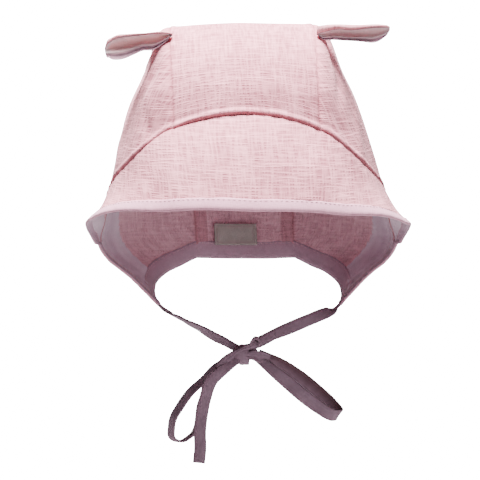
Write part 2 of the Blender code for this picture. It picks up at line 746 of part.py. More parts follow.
def ear_grid(length, height, lift, droop):
    """A folded ear on the right: a cup open to the front, lying on the panel's shoulder."""
    rows = np.array([row[1:] for row in EAR_FORM])
    seam = SEAM_POINTS[SEAM_TOP]
    clear = EAR_CLEAR * (CLOTH + EAR_CLOTH)
    grid = Grid()
    for j in range(EAR_STEPS_LONG + 1):
        share = j / EAR_STEPS_LONG
        tall, cup, fall = (np.interp(share, rows[:, 0], rows[:, k]) for k in (1, 2, 3))
        tall *= height * EAR_HEIGHT
        cup *= EAR_CUP
        top = seam[2] + EAR_HEIGHT * (lift - droop * fall)
        x = seam[0] + SEAM_GAP + length * EAR_LENGTH * share
        front = seam[1] - EAR_FORWARD - EAR_LEAN_OUT * share
        for i in range(EAR_STEPS_ROUND + 1):
            angle = math.radians(EAR_ARC) * (1.0 - 2.0 * i / EAR_STEPS_ROUND)
            y = front + cup * math.cos(angle)
            up = 0.5 * (1.0 + math.sin(angle))
            z = max(top - tall * (1.0 - up), shoulder_z(x, y, clear) + EAR_FOLD * up)
            grid.add((i, j), np.array((x, y, z)))
    for j in range(EAR_STEPS_LONG):
        for i in range(EAR_STEPS_ROUND):
            grid.face((i, j), (i, j + 1), (i + 1, j + 1), (i + 1, j))
    grid.finish()
    return grid


def ribbon(name, rows, steps, thick, material):
    """A flat strand: rows hold a point, the width there and the width's direction."""
    line = SmoothCurve([np.concatenate((point, (width,), way)) for point, width, way in rows])
    section = RIBBON_SECTION + tuple((a, -b) for a, b in reversed(RIBBON_SECTION))
    points = []
    for k in range(steps + 1):
        here = line.at(k / steps)
        along = unit(line.direction(k / steps, 0.01)[:3])
        across = unit(here[4:] - along * along.dot(here[4:]))
        normal = np.cross(along, across)
        for a, b in section:
            points.append(here[:3] + across * here[3] * a + normal * thick * b)
    return new_object(name, points, tube_faces(steps + 1, len(section)), material)


def knot_middle():
    """Middle of the knot, under the chin."""
    return np.array((KNOT_SIDE, -KNOT_FORWARD, -KNOT_DROP))


def tie(name, rows, corner, along, way, side, rise, material):
    """A tie: it leaves its flap's corner along the tape, then runs to the knot's upper side."""
    end = knot_middle() + (side * (0.5 * KNOT_WIDTH + TIE_SEAT), 0.0, rise * KNOT_HEIGHT)
    start = corner + along * TIE_START
    placed = [(corner, TIE_WIDTH, way), (start, TIE_WIDTH, way)]
    for _, share, width, *facing in rows:
        placed.append((start + (end - start) * share, width * TIE_WIDTH, unit(facing)))
    return ribbon(name, placed, TIE_STEPS, TIE_THICK, material)


def knot_side(offset):
    """Where the way from the knot's middle along an offset comes out of the knot."""
    half = 0.5 * np.array((KNOT_WIDTH, KNOT_DEPTH, KNOT_HEIGHT))
    reach = np.sum(np.abs(offset / half) ** (2.0 / KNOT_ROUND)) ** (-0.5 * KNOT_ROUND)
    return offset * reach + unit(offset) * STRAND_SEAT


def bow_strand(name, rows, steps, material):
    """A loop or tail of the bow; its rows at the knot lie on the knot's side."""
    scale = np.array((BOW_SPAN, BOW_DEPTH, BOW_FALL))
    placed = []
    for place, x, y, z, width, *facing in rows:
        offset = scale * (x, y, z)
        if place.startswith("knot"):
            offset = knot_side(offset)
        placed.append((knot_middle() + offset, width * TIE_WIDTH, unit(facing)))
    return ribbon(name, placed, steps, TIE_THICK, material)


def knot(material):
    """The knot: a rounded wrap."""
    shape = bmesh.new()
    bmesh.ops.create_uvsphere(shape, u_segments=16, v_segments=10, radius=0.5)
    size = np.array((KNOT_WIDTH, KNOT_DEPTH, KNOT_HEIGHT))
    middle = knot_middle()
    points = []
    for vert in shape.verts:
        away = np.array(vert.co) * 2.0
        squared = np.sign(away) * np.abs(away) ** KNOT_ROUND
        points.append(middle + 0.5 * size * squared)
    faces = [[vert.index for vert in face.verts] for face in shape.faces]
    shape.free()
    return new_object("bow_knot", points, faces, material)


def label(material):
    """The label sewn inside the back, just above the hem tape."""
    grid = Grid()
    run = STRIP_LINE.length
    low = 1.0 - LABEL_ABOVE_HEM / run
    high = low - LABEL_HEIGHT / run
    for j in range(4):
        share = high + (low - high) * j / 3
        dy, dz = STRIP_LINE.direction(share)
        inward = np.array((0.0, dz, -dy))
        for i in range(5):
            x = LABEL_SHIFT + LABEL_WIDTH * (i / 4 - 0.5)
            point = strip_point(share, x / strip_half_width(share))
            grid.add((i, j), point + inward * (SEAM_GAP + LABEL_THICK))
    for j in range(3):
        for i in range(4):
            grid.face((i, j), (i + 1, j), (i + 1, j + 1), (i, j + 1))
    grid.finish()
    return shell("label", grid, LABEL_THICK, material)


def main():
    """Build the bonnet."""
    for thing in list(bpy.data.objects):
        bpy.data.objects.remove(thing, do_unlink=True)
    materials = {slot: cloth_material(slot) for slot in COLOURS}
    front = [seam_share(dome_height(0.0, j), True) for j in range(DOME_ROWS + 1)]
    side = side_grid()
    column = 2 * SIDE_STEPS_QUARTER
    last = DOME_ROWS + FLAP_ROWS
    back = [seam_share(side.point((column, j))[2], False) for j in range(last + 1)]
    strip = strip_grid(front, back)
    brim, rib = brim_grid(strip, side)
    join_seams(strip, side, brim)
    shell("crown_strip", strip, CLOTH, materials["linen"])
    shell("side_panel_right", side, CLOTH, materials["linen"])
    shell("side_panel_left", side, CLOTH, materials["linen"], mirrored=True)
    shell("brim", brim, BRIM_CLOTH, materials["brim_linen"])
    face, along = face_tape_stations(brim, rib, side)
    neck = neck_tape_stations(side, strip)
    tape("face_binding", both_halves(face, True), FACE_TAPE_WIDTH, TAPE_THICK, materials["tape"])
    tape("neck_binding", both_halves(neck, False), NECK_TAPE_WIDTH, TAPE_THICK, materials["tape"])
    label(materials["label_cloth"])
    for name, sign, *form in EARS:
        ear = ear_grid(*form)
        shell(name, ear, EAR_CLOTH, materials["ear_linen"], mirrored=sign < 0)
    inner, way, _ = face[-1]
    corner = inner + way * 0.5 * FACE_TAPE_WIDTH + along * SEAM_GAP
    ties = (("tie_left", TIE_LEFT, -1, TIE_LEFT_RISE), ("tie_right", TIE_RIGHT, 1, TIE_RIGHT_RISE))
    for name, rows, sign, rise in ties:
        mirror = np.array((sign, 1.0, 1.0))
        place = worn(corner * mirror)
        tie(name, rows, place, along * mirror, way * mirror, sign, rise, materials["tie_tape"])
    knot(materials["tie_tape"])
    bow_strand("bow_loop_left", LOOP_LEFT, LOOP_STEPS, materials["tie_tape"])
    bow_strand("bow_loop_right", LOOP_RIGHT, LOOP_STEPS, materials["tie_tape"])
    bow_strand("tie_tail_left", TAIL_LEFT, TAIL_LEFT_STEPS, materials["tie_tape"])
    bow_strand("tie_tail_right", TAIL_RIGHT, TAIL_RIGHT_STEPS, materials["tie_tape"])


def cloth_material(slot):
    """A plain matt cloth in the slot's colour."""
    material = bpy.data.materials.new(slot)
    material.use_nodes = True
    shader = material.node_tree.nodes["Principled BSDF"]
    shader.inputs["Base Color"].default_value = COLOURS[slot]
    shader.inputs["Roughness"].default_value = 0.9
    shader.inputs["Metallic"].default_value = 0.0
    material.diffuse_color = COLOURS[slot]
    return material


def join_seams(strip, side, brim):
    """Share normals along the strip's seams and the brim seam."""
    steps = STRIP_STEPS_ACROSS
    half = steps // 2
    pairs = []
    for j in range(DOME_ROWS + 1):
        group = [(strip, (steps, DOME_ROWS - j)), (side, (0, j))]
        if j == DOME_ROWS:
            group.append((brim, (half, 0)))
        pairs.append(group)
    for j in range(1, DOME_ROWS + FLAP_ROWS + 1):
        pairs.append([(strip, (steps, DOME_ROWS + j)), (side, (2 * SIDE_STEPS_QUARTER, j))])
    for i in range(half):
        pairs.append([(strip, (half + i, 0)), (brim, (i, 0))])
    for i, key in enumerate(seam_keys()[1:], start=half + 1):
        pairs.append([(side, key), (brim, (i, 0))])
    share_normals(pairs)
    mirror = np.array((-1.0, 1.0, 1.0))
    for j in range(DOME_ROWS * 2 + FLAP_ROWS + 1):
        strip.normals[strip.index[(0, j)]] = strip.normal((steps, j)) * mirror
    for i in range(1, half + 1):
        strip.normals[strip.index[(half - i, 0)]] = strip.normal((half + i, 0)) * mirror
    for i in range(1, half + len(seam_keys())):
        brim.normals[brim.index[(-i, 0)]] = brim.normal((i, 0)) * mirror


main()
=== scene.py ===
# %% [markdown]
# # A baby's linen sun bonnet
#
# The bonnet is a fitted crown of three linen panels, a scooped brim that runs down into two
# side flaps, two small folded ears and a chin tape tied in a bow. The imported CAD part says
# where each piece is; here every soft solid is replaced by cloth with its own seams, folds,
# weave and stitches. Nothing moves on it, so every piece rides on the one body.

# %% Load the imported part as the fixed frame
import math

import bpy
import numpy as np
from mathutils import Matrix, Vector, kdtree, noise


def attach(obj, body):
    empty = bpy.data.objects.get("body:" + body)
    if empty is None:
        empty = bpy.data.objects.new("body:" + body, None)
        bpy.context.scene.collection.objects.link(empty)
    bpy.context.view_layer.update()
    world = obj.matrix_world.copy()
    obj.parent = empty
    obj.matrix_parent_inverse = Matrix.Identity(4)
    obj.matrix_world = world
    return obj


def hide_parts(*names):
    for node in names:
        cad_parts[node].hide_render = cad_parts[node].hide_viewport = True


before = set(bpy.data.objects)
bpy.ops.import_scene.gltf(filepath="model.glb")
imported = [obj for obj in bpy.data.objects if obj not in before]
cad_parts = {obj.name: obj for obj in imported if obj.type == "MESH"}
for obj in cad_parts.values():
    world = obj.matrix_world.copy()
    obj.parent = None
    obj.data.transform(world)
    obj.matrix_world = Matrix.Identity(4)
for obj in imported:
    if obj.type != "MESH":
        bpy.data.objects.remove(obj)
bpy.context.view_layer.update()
BODY = "root"

# %% [markdown]
# ## Camera and light
#
# The photograph was taken from a little above the brim, almost straight on, with a long lens.
# A long lens can be had by a large focal length far away, which keeps the crown's sides
# parallel. The bonnet is held up by its mount, so the floor lies well below it.
#
# The main light is a big soft box almost straight above, a little in front and to the left,
# which leaves the inside and the ties dim. A low one from the right, a faint one in front, one
# behind for the nape and a faint pale room lift the deepest shadows. The white paper glows for
# the camera alone: as a lamp it would flood the inside with light.

# %% Camera
PHOTO_PIXELS = 480
METRES_A_PIXEL = 0.00064
CAMERA_DISTANCE = 1.3
CAMERA_TARGET = Vector((-0.0006, 0.0, -0.1365))
CAMERA_AZIMUTH = math.radians(-1.75)
CAMERA_ELEVATION = math.radians(4.0)


def looking_back(azimuth, elevation):
    """The unit direction from the target to a camera or lamp."""
    level = math.cos(elevation)
    return Vector((math.sin(azimuth) * level, -math.cos(azimuth) * level, math.sin(elevation)))


camera = bpy.data.objects.new("camera", bpy.data.cameras.new("camera"))
bpy.context.scene.collection.objects.link(camera)
back = looking_back(CAMERA_AZIMUTH, CAMERA_ELEVATION)
camera.location = CAMERA_TARGET + back * CAMERA_DISTANCE
camera.rotation_euler = (-back).to_track_quat("-Z", "Y").to_euler()
focal_pixels = CAMERA_DISTANCE / METRES_A_PIXEL
camera.data.lens = camera.data.sensor_width * focal_pixels / PHOTO_PIXELS
camera.data.clip_start = 0.05
camera.data.clip_end = 20.0
bpy.context.scene.camera = camera
print("lens", round(camera.data.lens, 1), "mm")

# %% Studio light, floor and backdrop
# name, azimuth and elevation in degrees, distance and size in metres, power in watts
LAMPS = (
    ("key_softbox", -38.0, 83.0, 1.3, 0.70, 150.0),
    ("low_right_fill", 50.0, -10.0, 1.7, 0.6, 7.5),
    ("front_fill", -8.0, 10.0, 1.8, 0.6, 1.2),
    ("back_fill", 180.0, 25.0, 1.8, 0.8, 20.0),
)
LAMP_TINT = (1.0, 0.94, 0.93)
for name, azimuth, elevation, away, size, power in LAMPS:
    lamp = bpy.data.objects.new(name, bpy.data.lights.new(name, "AREA"))
    bpy.context.scene.collection.objects.link(lamp)
    way = looking_back(math.radians(azimuth), math.radians(elevation))
    lamp.location = CAMERA_TARGET + way * away
    lamp.rotation_euler = (-way).to_track_quat("-Z", "Y").to_euler()
    lamp.data.size = size
    lamp.data.energy = power
    lamp.data.color = LAMP_TINT

ROOM_WHITE = (1.0, 1.0, 1.0, 1.0)
ROOM_STRENGTH = 0.08
world = bpy.data.worlds.new("pale_room")
world.use_nodes = True
world.node_tree.nodes["Background"].inputs["Color"].default_value = ROOM_WHITE
world.node_tree.nodes["Background"].inputs["Strength"].default_value = ROOM_STRENGTH
bpy.context.scene.world = world

PAPER_GREY = (0.35, 0.35, 0.35, 1.0)
PAPER_GLOW = 24.0
FLOOR_DROP = 0.55
FLOOR_HALF = 6.0
SWEEP_BACK = 3.0
SWEEP_RADIUS = 1.0
SWEEP_STEPS = 12


def studio_sweep():
    """A floor that curves up into a backdrop behind the bonnet."""
    profile = [(-FLOOR_HALF, -FLOOR_DROP)]
    for step in range(SWEEP_STEPS + 1):
        turn = 0.5 * math.pi * step / SWEEP_STEPS
        rise = SWEEP_RADIUS * (1.0 - math.cos(turn))
        profile.append((SWEEP_BACK + SWEEP_RADIUS * math.sin(turn), -FLOOR_DROP + rise))
    profile.append((SWEEP_BACK + SWEEP_RADIUS, FLOOR_HALF))
    points = [(side * FLOOR_HALF, y, z) for y, z in profile for side in (-1, 1)]
    faces = [(2 * k, 2 * k + 1, 2 * k + 3, 2 * k + 2) for k in range(len(profile) - 1)]
    mesh = bpy.data.meshes.new("studio_sweep")
    mesh.from_pydata(points, [], faces)
    mesh.shade_smooth()
    sweep = bpy.data.objects.new("studio_sweep", mesh)
    bpy.context.scene.collection.objects.link(sweep)
    paint = bpy.data.materials.new("white_paper")
    paint.use_nodes = True
    shader = paint.node_tree.nodes["Principled BSDF"]
    shader.inputs["Base Color"].default_value = PAPER_GREY
    shader.inputs["Roughness"].default_value = 1.0
    shader.inputs["Emission Color"].default_value = ROOM_WHITE
    seen = paint.node_tree.nodes.new("ShaderNodeLightPath")
    glow = paint.node_tree.nodes.new("ShaderNodeMath")
    glow.operation = "MULTIPLY"
    glow.inputs[1].default_value = PAPER_GLOW
    paint.node_tree.links.new(seen.outputs["Is Camera Ray"], glow.inputs[0])
    paint.node_tree.links.new(glow.outputs[0], shader.inputs["Emission Strength"])
    mesh.materials.append(paint)
    return sweep


studio_sweep()
print("lamps", len(LAMPS))

# %% [markdown]
# ## The form
#
# The CAD source lays each panel on a form: a crown strip from brim to nape, and a half dome at
# each side that carries on down into a flap. The same sizes and tables are written here, so
# that fine cloth lies exactly where the coarse solids are. They could be read off the solids
# by fitting, but a form function can be asked for a point anywhere, at any spacing.

# %% Sizes of the form, in metres
CLOTH = 0.0014
BRIM_CLOTH = 0.0018
FACE_TAPE_WIDTH = 0.0065
NECK_TAPE_WIDTH = 0.0080
TAPE_THICK = 0.0024
TIE_WIDTH = 0.0080
TIE_THICK = 0.0016
TIE_START = 0.0040
SEAM_GAP = 0.0003
CROWN_DEPTH = 0.160
CROWN_HEIGHT = 0.1465
STRIP_WIDTH_TOP = 0.0902
STRIP_WIDTH_FRONT = 0.0876
STRIP_WIDTH_HEM = 0.0660
STRIP_CROWNING = 0.0070
STRIP_DIP = 0.0077
STRIP_DIP_FADE = 0.0500
FLAP_DROP = 0.1730
SIDE_SWELL = 0.0530
FRONT_SWELL = 0.0100
SEAM_DROP = 0.0985
SEAM_TURN = 0.0120
BRIM_END_DROP = 0.1375
WAIST_BACK_DROP = 0.1100
WAIST_BEND = 1.5
WAIST_TURN = 6
FLAP_SETBACK = 0.0200
DENT_DEPTH = 0.0014
BRIM_HALF_WIDTH = 0.1016
BRIM_FORWARD = 0.1120
BRIM_EDGE_DROP = 0.1135
BRIM_ROLL_SHARE = 0.06
BRIM_ROLL_TURN = 0.7
BRIM_TIP = 0.0006
BRIM_WAVE = 0.0010
BRIM_WAVES = 2.5
LEAN = 0.0060
LEAN_LAST = 1.3
TOP_RISE = 0.0020
TOP_RISE_DEPTH = 0.5
BRIM_SLANT = 0.0022
BRIM_SLANT_DEPTH = 0.6
BRIM_SLANT_REACH = 0.5
FRONT_SHIFT = 0.0008
FRONT_SHIFT_REACH = 0.6
FRONT_SHIFT_DEPTH = 0.38
FRONT_SHIFT_FADE = 0.26
DOME_SPREAD = 1.6

# y and z shares and crowning share of the strip, from the brim corner to the hem
STRIP_PROFILE = (
    (-0.487, -0.432, 1.00), (-0.428, -0.235, 0.80), (-0.300, -0.080, 0.45),
    (-0.120, -0.008, 0.22), (0.020, 0.000, 0.20), (0.190, -0.035, 0.30),
    (0.360, -0.155, 0.60), (0.475, -0.350, 0.80), (0.522, -0.590, 1.00),
    (0.518, -0.810, 1.00), (0.488, -1.000, 0.90),
)
# root of the depth share and reach share of a side panel, from the top corner down
SIDE_REACH = (
    (0.000, 0.000), (0.170, 0.135), (0.260, 0.187), (0.410, 0.307), (0.510, 0.455),
    (0.670, 0.645), (0.777, 0.779), (0.850, 0.883), (0.893, 0.937), (0.925, 0.845),
    (0.960, 0.600), (1.000, 0.355),
)
# turn share, height share, depth share and spread of each soft dent
DENTS = ((0.36, 0.28, 0.70, 0.10), (0.62, 0.50, 1.00, 0.13), (0.82, 0.74, 0.80, 0.10))
# share of the quarter turn and of the drop, along the hem
HEM_LINE = ((0.00, 0.00), (0.15, 0.20), (0.30, 0.34), (0.50, 0.54), (0.75, 0.80), (1.00, 1.00))
# x, y and z shares of the brim's edge, from the front centre to its end
BRIM_EDGE = (
    (0.000, -1.000, -0.987), (0.200, -0.983, -0.989), (0.400, -0.925, -0.995),
    (0.630, -0.808, -1.012), (0.840, -0.600, -1.045), (0.955, -0.375, -1.085),
    (1.000, -0.165, -1.125), (0.991, -0.065, -1.175), (0.955, -0.010, -1.222),
)
print("rows of the form's tables", len(STRIP_PROFILE), len(SIDE_REACH), len(BRIM_EDGE))


# %% Small tools for curves
def ease(share):
    """A smooth step from 0 to 1, for a number or an array."""
    share = np.clip(share, 0.0, 1.0)
    return share * share * (3.0 - 2.0 * share)


def unit(vectors):
    """Vectors at length one; the last axis holds x, y and z."""
    vectors = np.asarray(vectors, float)
    length = np.linalg.norm(vectors, axis=-1, keepdims=True)
    return vectors / np.maximum(length, 1e-12)


def hermite(t, step, low, high, slope_low, slope_high):
    """The smooth value between two rows of a table."""
    return (
        (2 * t**3 - 3 * t**2 + 1) * low
        + (t**3 - 2 * t**2 + t) * step * slope_low
        + (3 * t**2 - 2 * t**3) * high
        + (t**3 - t**2) * step * slope_high
    )


class SmoothTable:
    """A smooth value read off a short table by its first column."""

    def __init__(self, rows):
        self.at, self.values = np.array(rows, float).T
        self.slopes = np.gradient(self.values, self.at)

    def value(self, place):
        place = np.clip(place, self.at[0], self.at[-1])
        i = np.clip(np.searchsorted(self.at, place, side="right") - 1, 0, len(self.at) - 2)
        step = self.at[i + 1] - self.at[i]
        t = (place - self.at[i]) / step
        return hermite(t, step, self.values[i], self.values[i + 1], self.slopes[i],
                       self.slopes[i + 1])


class SmoothLine:
    """A smooth curve through rows, read by the share of its length in the first columns."""

    def __init__(self, rows, measured=3, samples=600):
        rows = np.array(rows, float)
        steps = np.linalg.norm(np.diff(rows[:, :measured], axis=0), axis=1)
        knots = np.concatenate(([0.0], np.cumsum(steps)))
        slopes = np.gradient(rows, knots, axis=0)
        at = np.linspace(0.0, knots[-1], samples)
        i = np.clip(np.searchsorted(knots, at, side="right") - 1, 0, len(knots) - 2)
        step = (knots[i + 1] - knots[i])[:, None]
        t = (at - knots[i])[:, None] / step
        self.points = hermite(t, step, rows[i], rows[i + 1], slopes[i], slopes[i + 1])
        run = np.cumsum(np.linalg.norm(np.diff(self.points[:, :measured], axis=0), axis=1))
        self.length = float(run[-1])
        self.shares = np.concatenate(([0.0], run)) / run[-1]

    def at(self, share):
        """Points at shares of the length, one row for each share."""
        return np.stack([np.interp(share, self.shares, c) for c in self.points.T], axis=-1)

    def direction(self, share, reach=0.004):
        """Unit directions of travel at shares of the length."""
        ahead = self.at(np.minimum(share + reach, 1.0)) - self.at(np.maximum(share - reach, 0.0))
        return unit(ahead)


def worn(points):
    """Where points of the even bonnet go in the worn one: it leans and slants a little."""
    x, y, z = np.moveaxis(np.asarray(points, float), -1, 0)
    below = np.clip(-z / FLAP_DROP, 0.0, LEAN_LAST)
    forward = np.clip(-y / BRIM_FORWARD, 0.0, 1.0)
    side = x / BRIM_HALF_WIDTH
    lift = TOP_RISE * side * (1.0 - ease(below / TOP_RISE_DEPTH))
    sink = BRIM_SLANT * side * ease(below / BRIM_SLANT_DEPTH) * ease(forward / BRIM_SLANT_REACH)
    fade = 1.0 - ease((below - FRONT_SHIFT_DEPTH) / FRONT_SHIFT_FADE)
    shift = LEAN * below - FRONT_SHIFT * ease(forward / FRONT_SHIFT_REACH) * fade
    return np.stack((x + shift, y, z + lift - sink), axis=-1)


print("halfway down the middle leans to", np.round(worn((0.0, 0.0, -0.5 * FLAP_DROP)), 4))

# %% The crown strip's form
STRIP_LINE = SmoothLine([(y * CROWN_DEPTH, z * CROWN_HEIGHT) for y, z, _ in STRIP_PROFILE])
STRIP_ROWS_AT = np.array([
    STRIP_LINE.shares[np.argmin(np.linalg.norm(
        STRIP_LINE.points - (y * CROWN_DEPTH, z * CROWN_HEIGHT), axis=1))]
    for y, z, _ in STRIP_PROFILE
])
TOP_SHARE = float(STRIP_LINE.shares[np.argmax(STRIP_LINE.points[:, 1])])


def strip_half_width(share):
    front = ease(share / TOP_SHARE)
    rear = ease((share - TOP_SHARE) / (1.0 - TOP_SHARE))
    before = STRIP_WIDTH_FRONT + (STRIP_WIDTH_TOP - STRIP_WIDTH_FRONT) * front
    after = STRIP_WIDTH_TOP + (STRIP_WIDTH_HEM - STRIP_WIDTH_TOP) * rear
    return 0.5 * np.where(share < TOP_SHARE, before, after)


def strip_point(share, across):
    """Inside face of the strip; across runs from -1 at the left seam to 1 at the right."""
    line = STRIP_LINE.at(share)
    way = STRIP_LINE.direction(share)
    crowning = STRIP_CROWNING * np.interp(share, STRIP_ROWS_AT, [r[2] for r in STRIP_PROFILE])
    sink = crowning * across * across
    y = line[..., 0] + way[..., 1] * sink
    z = line[..., 1] - way[..., 0] * sink
    return np.stack((across * strip_half_width(share), y, z), axis=-1)


def strip_share(share, across):
    """The front edge dips to its corners, so rows near it arch over the middle."""
    fade = np.maximum(1.0 - share * STRIP_LINE.length / STRIP_DIP_FADE, 0.0)
    return share + STRIP_DIP / STRIP_LINE.length * (1.0 - across * across) * fade


SEAM_SHARES = np.linspace(0.0, 1.0, 500)
SEAM_POINTS = strip_point(SEAM_SHARES, np.ones(500))
SEAM_TOP = int(np.argmax(SEAM_POINTS[:, 2]))
TOP_Z = float(SEAM_POINTS[SEAM_TOP, 2])
FRONT_Z = float(SEAM_POINTS[0, 2])
HEM_Z = float(SEAM_POINTS[-1, 2])
print("strip", round(STRIP_LINE.length * 1000), "mm long")

# %% The side panels' form
REACH_CURVE = SmoothTable(SIDE_REACH)
HEM_CURVE = SmoothTable(HEM_LINE)
QUARTER = 0.5 * math.pi


def seam_place(z, front):
    """x and y of the strip's seam at heights z, carried on below its ends."""
    ahead = np.interp(z, SEAM_POINTS[:SEAM_TOP + 1, 2], SEAM_SHARES[:SEAM_TOP + 1])
    behind = np.interp(-z, -SEAM_POINTS[SEAM_TOP:, 2], SEAM_SHARES[SEAM_TOP:])
    share = np.where(front, ahead, behind)
    point = strip_point(share, np.ones_like(share))
    below = np.clip((FRONT_Z - z) / (FRONT_Z + SEAM_DROP), 0.0, 1.0)
    swell = np.where(front, FRONT_SWELL * np.sin(QUARTER * below), 0.0)
    end = STRIP_LINE.direction(np.array(1.0))
    carried = np.where(front, 0.0, np.minimum(z - HEM_Z, 0.0) * end[0] / end[1])
    return point[..., 0], point[..., 1] - swell + carried


def half_width(z):
    root = np.sqrt(np.clip((TOP_Z - z) / (TOP_Z + FLAP_DROP), 0.0, 1.0))
    return 0.5 * STRIP_WIDTH_TOP + SIDE_SWELL * REACH_CURVE.value(root)


def widest_y(z):
    flap = ease((-z - SEAM_DROP) / (FLAP_DROP - SEAM_DROP))
    return SEAM_POINTS[SEAM_TOP, 1] * (1.0 - ease((TOP_Z - z) / SEAM_DROP)) + FLAP_SETBACK * flap


def side_point(turn, z):
    """Inside face of the right side panel: turn is 0 at the front seam, pi at the back."""
    x, y = seam_place(z, turn <= QUARTER)
    middle = widest_y(z)
    dent = np.zeros_like(x)
    for at_turn, at_height, depth, spread in DENTS:
        away = np.hypot(turn / math.pi - at_turn, -z / FLAP_DROP - at_height) / spread
        dent += depth * DENT_DEPTH * np.exp(-away * away)
    out = (half_width(z) - x - dent) * np.sin(turn)
    return np.stack((x + out, middle + (y - middle) * np.abs(np.cos(turn)), z), axis=-1)


def waist_z(turn):
    """Height of the row that follows the brim seam in front and crosses behind."""
    bend = np.sin(turn) ** WAIST_BEND
    front = FRONT_Z - (SEAM_DROP + FRONT_Z) * bend - SEAM_TURN * (turn / QUARTER) ** WAIST_TURN
    rear = -WAIST_BACK_DROP + (WAIST_BACK_DROP - SEAM_DROP - SEAM_TURN) * bend
    return np.where(turn <= QUARTER, front, rear)


def hem_z(turn):
    return HEM_Z - (FLAP_DROP + HEM_Z) * HEM_CURVE.value((math.pi - turn) / QUARTER)


SIDE_DROP = SEAM_DROP + SEAM_TURN
BRIM_END_SHARE = (BRIM_END_DROP - SIDE_DROP) / (FLAP_DROP - SIDE_DROP)
print("flap corner", np.round(side_point(np.array(QUARTER), np.array(-FLAP_DROP)), 4))

# %% [markdown]
# ## How a cloth panel is made
#
# A panel is a closed wall: a grid of points for its inside face, the same grid laid outward
# along its normals, and a rim round the edge. A Solidify modifier would do the same, but here
# each face needs its own relief, because a sewn seam puffs up on the outside and shows its
# turned-in cloth on the inside. The panels are shaped as given and not by a cloth simulation:
# a worn, stitched bonnet holds the form its cut gives it, and a drop test would lose it.
#
# A few facts are kept at each point for the materials: where it lies in the flat cloth, how
# near a seam it is and how much painted shade that seam gets, whether it is on the inside, and
# whether a band painted darker as shade or a smooth facing lies there.


# %% Stations, normals and closed walls
def stations(length, coarse, fine, reach, start=True, end=True):
    """Shares along a length, close together near its sewn ends and wider between."""
    places = [0.0]
    while places[-1] < length:
        near = min(places[-1] if start else length, length - places[-1] if end else length)
        places.append(places[-1] + fine + (coarse - fine) * float(ease(near / reach)))
    return np.array(places) / places[-1]


def grid_quads(rows, columns, keep=None, flip=False):
    """Corner numbers of each square of a grid of points."""
    j, i = np.meshgrid(np.arange(rows - 1), np.arange(columns - 1), indexing="ij")
    k = j * columns + i
    quads = np.stack((k, k + columns, k + columns + 1, k + 1), axis=-1)
    if keep is not None:
        quads = quads[keep]
    quads = quads.reshape(-1, 4)
    return quads[:, ::-1] if flip else quads


def point_normals(points, quads):
    """Area-weighted normals of a grid's points."""
    corners = points[quads]
    across = np.cross(corners[:, 2] - corners[:, 0], corners[:, 3] - corners[:, 1])
    normals = np.zeros_like(points)
    for k in range(4):
        np.add.at(normals, quads[:, k], across)
    return unit(normals)


def new_piece(name, points, faces, materials, facts=None, face_materials=None):
    """A smooth mesh object with its facts as attributes, its faces turned outward."""
    mesh = bpy.data.meshes.new(name)
    mesh.from_pydata(np.asarray(points).tolist(), [], [tuple(face) for face in faces])
    if sum(face.area * face.center.dot(face.normal) for face in mesh.polygons) < 0.0:
        mesh.flip_normals()
    mesh.shade_smooth()
    for material in materials:
        mesh.materials.append(material)
    if face_materials is not None:
        mesh.polygons.foreach_set("material_index", np.asarray(face_materials, np.int32))
    for fact, values in (facts or {}).items():
        if values.ndim == 1:
            mesh.attributes.new(fact, "FLOAT", "POINT").data.foreach_set("value", values)
        else:
            layer = mesh.attributes.new(fact, "FLOAT_VECTOR", "POINT")
            layer.data.foreach_set("vector", values.ravel())
    mesh.validate()
    piece = bpy.data.objects.new(name, mesh)
    bpy.context.scene.collection.objects.link(piece)
    return piece


def cloth_wall(name, inner, outer, quads, materials, facts, lining=None):
    """Join an inside and an outside face into one closed wall."""
    used = np.unique(quads)
    number = np.zeros(len(inner), int)
    number[used] = np.arange(len(used))
    quads = number[quads]
    count = len(used)
    edges = np.concatenate([quads[:, [k, (k + 1) % 4]] for k in range(4)])
    seen = edges[:, 0] * count + edges[:, 1]
    opposite = edges[:, 1] * count + edges[:, 0]
    a, b = edges[~np.isin(seen, opposite)].T
    rim = np.stack((b + count, a + count, a, b), axis=-1)
    faces = np.concatenate((quads + count, quads[:, ::-1], rim)).tolist()
    both = {}
    for fact, values in facts.items():
        both[fact] = np.concatenate((values[used], values[used])).astype(np.float32)
    inside = np.concatenate((np.ones(count), np.zeros(count))).astype(np.float32)
    both["inside"] = inside
    points = np.concatenate((inner[used], outer[used]))
    kinds = None
    if lining is not None:
        kinds = [0] * len(quads) + [lining] * len(quads) + [0] * len(rim)
    return new_piece(name, points, faces, materials, both, kinds)


def finish_piece(piece, slot, *nodes):
    """Put a piece on the part's body in place of its CAD nodes."""
    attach(piece, BODY)
    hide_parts(*nodes)
    print(piece.name, len(piece.data.polygons), "faces")
    return piece


print("stations on 90 mm of cloth", len(stations(0.090, 1.4e-3, 0.4e-3, 8e-3)))


# %% Relief of cloth: soft folds, puckers and the profile of a seam
def soft_noise(points, sizes, seed):
    """Smooth noise from -1 to 1, with lumps of the given size along x, y and z."""
    shifted = points / np.asarray(sizes, float) + seed
    return np.array([noise.noise(Vector(p)) for p in shifted.reshape(-1, 3)])


def soft_drape(points, layers, seed=0.0):
    """Gentle lumps of cloth, from layers of height, lump sizes and seed."""
    return sum(height * soft_noise(points, sizes, seed + own) for height, sizes, own in layers)


def distance_to(points, line):
    """Distance from each point to the nearest point of a closely sampled line."""
    tree = kdtree.KDTree(len(line))
    for k, point in enumerate(line):
        tree.insert(Vector(point), k)
    tree.balance()
    return np.array([tree.find(Vector(p))[2] for p in points.reshape(-1, 3)])


